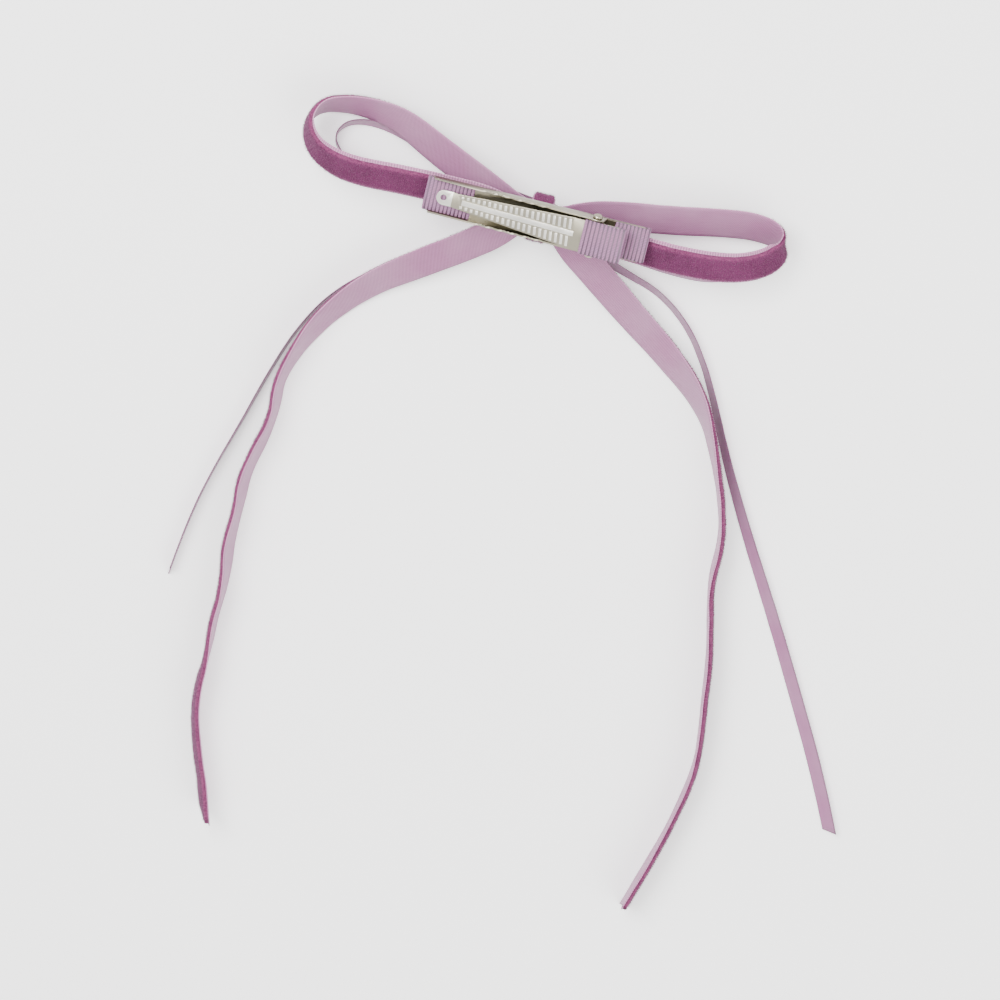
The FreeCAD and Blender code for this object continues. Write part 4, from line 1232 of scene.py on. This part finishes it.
class BARRETTE_OT_hinge(bpy.types.Operator):
    """Make the hinge pin and the wound spring on it"""
    bl_idname = "barrette.hinge"
    bl_label = "Hinge Pin and Spring"

    def execute(self, context):
        low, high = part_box("hinge_pin")
        half, head = (high.y - low.y) / 2, (high.z - low.z) / 2
        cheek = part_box("base_jaw")[1].y
        dome = [(head * math.sin(t), cheek + (half - cheek) * (0.35 + 0.65 * math.cos(t)))
                for t in (math.radians(degrees) for degrees in range(0, 91, 15))]
        upper = dome + [(head, cheek + RIVET_ROUND), (head - RIVET_ROUND, cheek), (PIN_RADIUS, cheek)]
        profile = upper + [(radius, -y) for radius, y in reversed(upper)]
        new_piece("rivet_pin", lathe_mesh("pin", HINGE, profile), [nickel_plate()],
                  "plated_steel", CLIP, "hinge_pin")
        self.make_spring(clip_sizes().coil_turns)
        return {"FINISHED"}

    def make_spring(self, turns):
        """The wound turns ride with the far jaw, and the last turn and its leg with the near one."""
        half = COIL_PITCH * (turns - 1) / 2
        seat = Vector((LEG_END_X, -half, WEB_TOP + WIRE_RADIUS + LEG_SEAT_GAP))
        start = HINGE + Vector((LEG_START_X, -half, -COIL_RADIUS))
        wire = [seat.lerp(start, t) for t in (0.0, 0.3, 0.6, 0.9)]
        wire += [turn_point(k / TURN_STEPS, -half + COIL_PITCH * min(k / TURN_STEPS, turns - 1))
                 for k in range(TURN_STEPS * turns + 1)]
        new_piece("spring_turns", tube_mesh("spring", wire, WIRE_RADIUS, WIRE_SIDES), [spring_wire()],
                  "spring_wire", CLIP, "spring_coil")

        y = half + 2 * WIRE_RADIUS + COIL_GAP
        seat = Vector((LEG_END_X, y, jaw_middle_z(LEG_END_X) - JAW_SHEET / 2 - WIRE_RADIUS - LEG_SEAT_GAP))
        start = HINGE + Vector((0, y, COIL_RADIUS))
        wire = [turn_point(k / TURN_STEPS - 0.5, y) for k in reversed(range(TURN_STEPS))]
        wire += [start.lerp(seat, t) for t in (0.12, 0.4, 0.7, 1.0)]
        new_piece("spring_moving_leg", tube_mesh("spring leg", wire, WIRE_RADIUS, WIRE_SIDES),
                  [spring_wire()], "spring_wire", JAW, "spring_leg")


# ------------ camera, lights and floor
LENS = 250.0
SENSOR = 36.0
VIEW_WIDTH = 250 * MM
VIEW_TILT = math.radians(20)
VIEW_ROLL = math.atan2(0.24, 0.971)
VIEW_RIGHT, VIEW_UP = -9.375 * MM, -69.875 * MM
FLOOR_REACH = 4.0
FLOOR_GAP = 0.02 * MM
SKY_STRENGTH = 1.75
# height of the direction and grey of the light that comes from it
SKY_STOPS = ((0.0, 0.10), (0.22, 0.16), (0.5, 1.0), (0.78, 0.95), (0.93, 0.5), (1.0, 0.46))
# place, size and watts of each lamp
LAMPS = {"key": ((-0.5, 0.55, 1.1), 0.8, 34.0), "fill": ((0.9, -0.3, 0.9), 1.2, 14.0)}


class BARRETTE_OT_stage(bpy.types.Operator):
    """Make the pale floor, the soft lights and the camera"""
    bl_idname = "barrette.stage"
    bl_label = "Stage"

    def execute(self, context):
        self.camera(context.scene)
        bm = bmesh.new()
        bmesh.ops.create_grid(bm, x_segments=2, y_segments=2, size=FLOOR_REACH)
        mesh = finished_mesh(bm, "floor")
        mesh.transform(Matrix.Translation((0, 0, FLOOR - FLOOR_GAP)))
        floor = new_piece("floor", mesh, [pale_floor()])
        for name, (place, size, watts) in LAMPS.items():
            lamp = bpy.data.lights.new(name, "AREA")
            lamp.size, lamp.energy = size, watts
            holder = linked_object(name, lamp)
            holder.location = place
            holder.rotation_mode = "QUATERNION"
            holder.rotation_quaternion = Vector(place).to_track_quat("Z", "Y")
        world = bpy.data.worlds.new("studio")
        context.scene.world = world
        world.use_nodes = True
        self.studio_sky(world.node_tree)
        return {"FINISHED"}

    def camera(self, scene):
        """Looks down at the bow with a long lens, tilted and rolled."""
        towards = Vector((0, math.sin(VIEW_TILT), math.cos(VIEW_TILT)))
        level_up = Vector((0, math.cos(VIEW_TILT), -math.sin(VIEW_TILT)))
        right = X_AXIS * math.cos(VIEW_ROLL) + level_up * math.sin(VIEW_ROLL)
        up = -X_AXIS * math.sin(VIEW_ROLL) + level_up * math.cos(VIEW_ROLL)
        camera = bpy.data.cameras.new("camera")
        camera.lens, camera.sensor_width = LENS, SENSOR
        camera.clip_start, camera.clip_end = 0.05, 20
        holder = linked_object("camera", camera)
        holder.location = right * VIEW_RIGHT + up * VIEW_UP + towards * (LENS / SENSOR * VIEW_WIDTH)
        holder.rotation_mode = "QUATERNION"
        holder.rotation_quaternion = Matrix((right, up, towards)).transposed().to_quaternion()
        scene.camera = holder

    def studio_sky(self, tree):
        """A ring of soft light, dimmer straight above and dark at the horizon."""
        ramp = add_node(tree, "ShaderNodeValToRGB",
                        {0: split(out(add_node(tree, "ShaderNodeTexCoord"), "Generated"))[2]})
        ramp.color_ramp.interpolation = "EASE"
        for extra in SKY_STOPS[2:]:
            ramp.color_ramp.elements.new(0.5)
        for stop, (place, grey) in zip(ramp.color_ramp.elements, SKY_STOPS):
            stop.position = place
            stop.color = (grey, grey * 0.99, grey * 0.97, 1.0)
        background = tree.nodes["Background"]
        feed(background.inputs[0], out(ramp))
        feed(background.inputs[1], SKY_STRENGTH)


# ------------ panel and registration
class BARRETTE_PT_panel(bpy.types.Panel):
    bl_label = "Barrette"
    bl_idname = "BARRETTE_PT_panel"
    bl_space_type = "VIEW_3D"
    bl_region_type = "UI"
    bl_category = "Barrette"

    def draw(self, context):
        layout = self.layout
        for group in (bow_sizes(), clip_sizes(), colours()):
            box = layout.box()
            for name in group.bl_rna.properties.keys():
                if name not in ("rna_type", "name"):
                    box.prop(group, name)
        for operator in OPERATORS:
            layout.operator(operator.bl_idname)


OPERATORS = (BARRETTE_OT_stage, BARRETTE_OT_satin_tails, BARRETTE_OT_velvet_bow, BARRETTE_OT_satin_loops,
             BARRETTE_OT_knot, BARRETTE_OT_binding, BARRETTE_OT_grosgrain, BARRETTE_OT_jaws,
             BARRETTE_OT_hinge)
CLASSES = (BowSizes, ClipSizes, BarretteColours) + OPERATORS + (BARRETTE_PT_panel,)


def register():
    for item in CLASSES:
        bpy.utils.register_class(item)
    bpy.types.Scene.bow_sizes = PointerProperty(type=BowSizes)
    bpy.types.Scene.clip_sizes = PointerProperty(type=ClipSizes)
    bpy.types.Scene.barrette_colours = PointerProperty(type=BarretteColours)


def unregister():
    for name in ("bow_sizes", "clip_sizes", "barrette_colours"):
        delattr(bpy.types.Scene, name)
    for item in reversed(CLASSES):
        bpy.utils.unregister_class(item)


def main():
    register()
    bpy.ops.barrette.stage()
    bpy.ops.barrette.satin_tails()
    bpy.ops.barrette.velvet_bow()
    bpy.ops.barrette.satin_loops()
    bpy.ops.barrette.knot()
    bpy.ops.barrette.binding()
    bpy.ops.barrette.grosgrain()
    bpy.ops.barrette.jaws()
    bpy.ops.barrette.hinge()


if __name__ == "__main__":
    main()
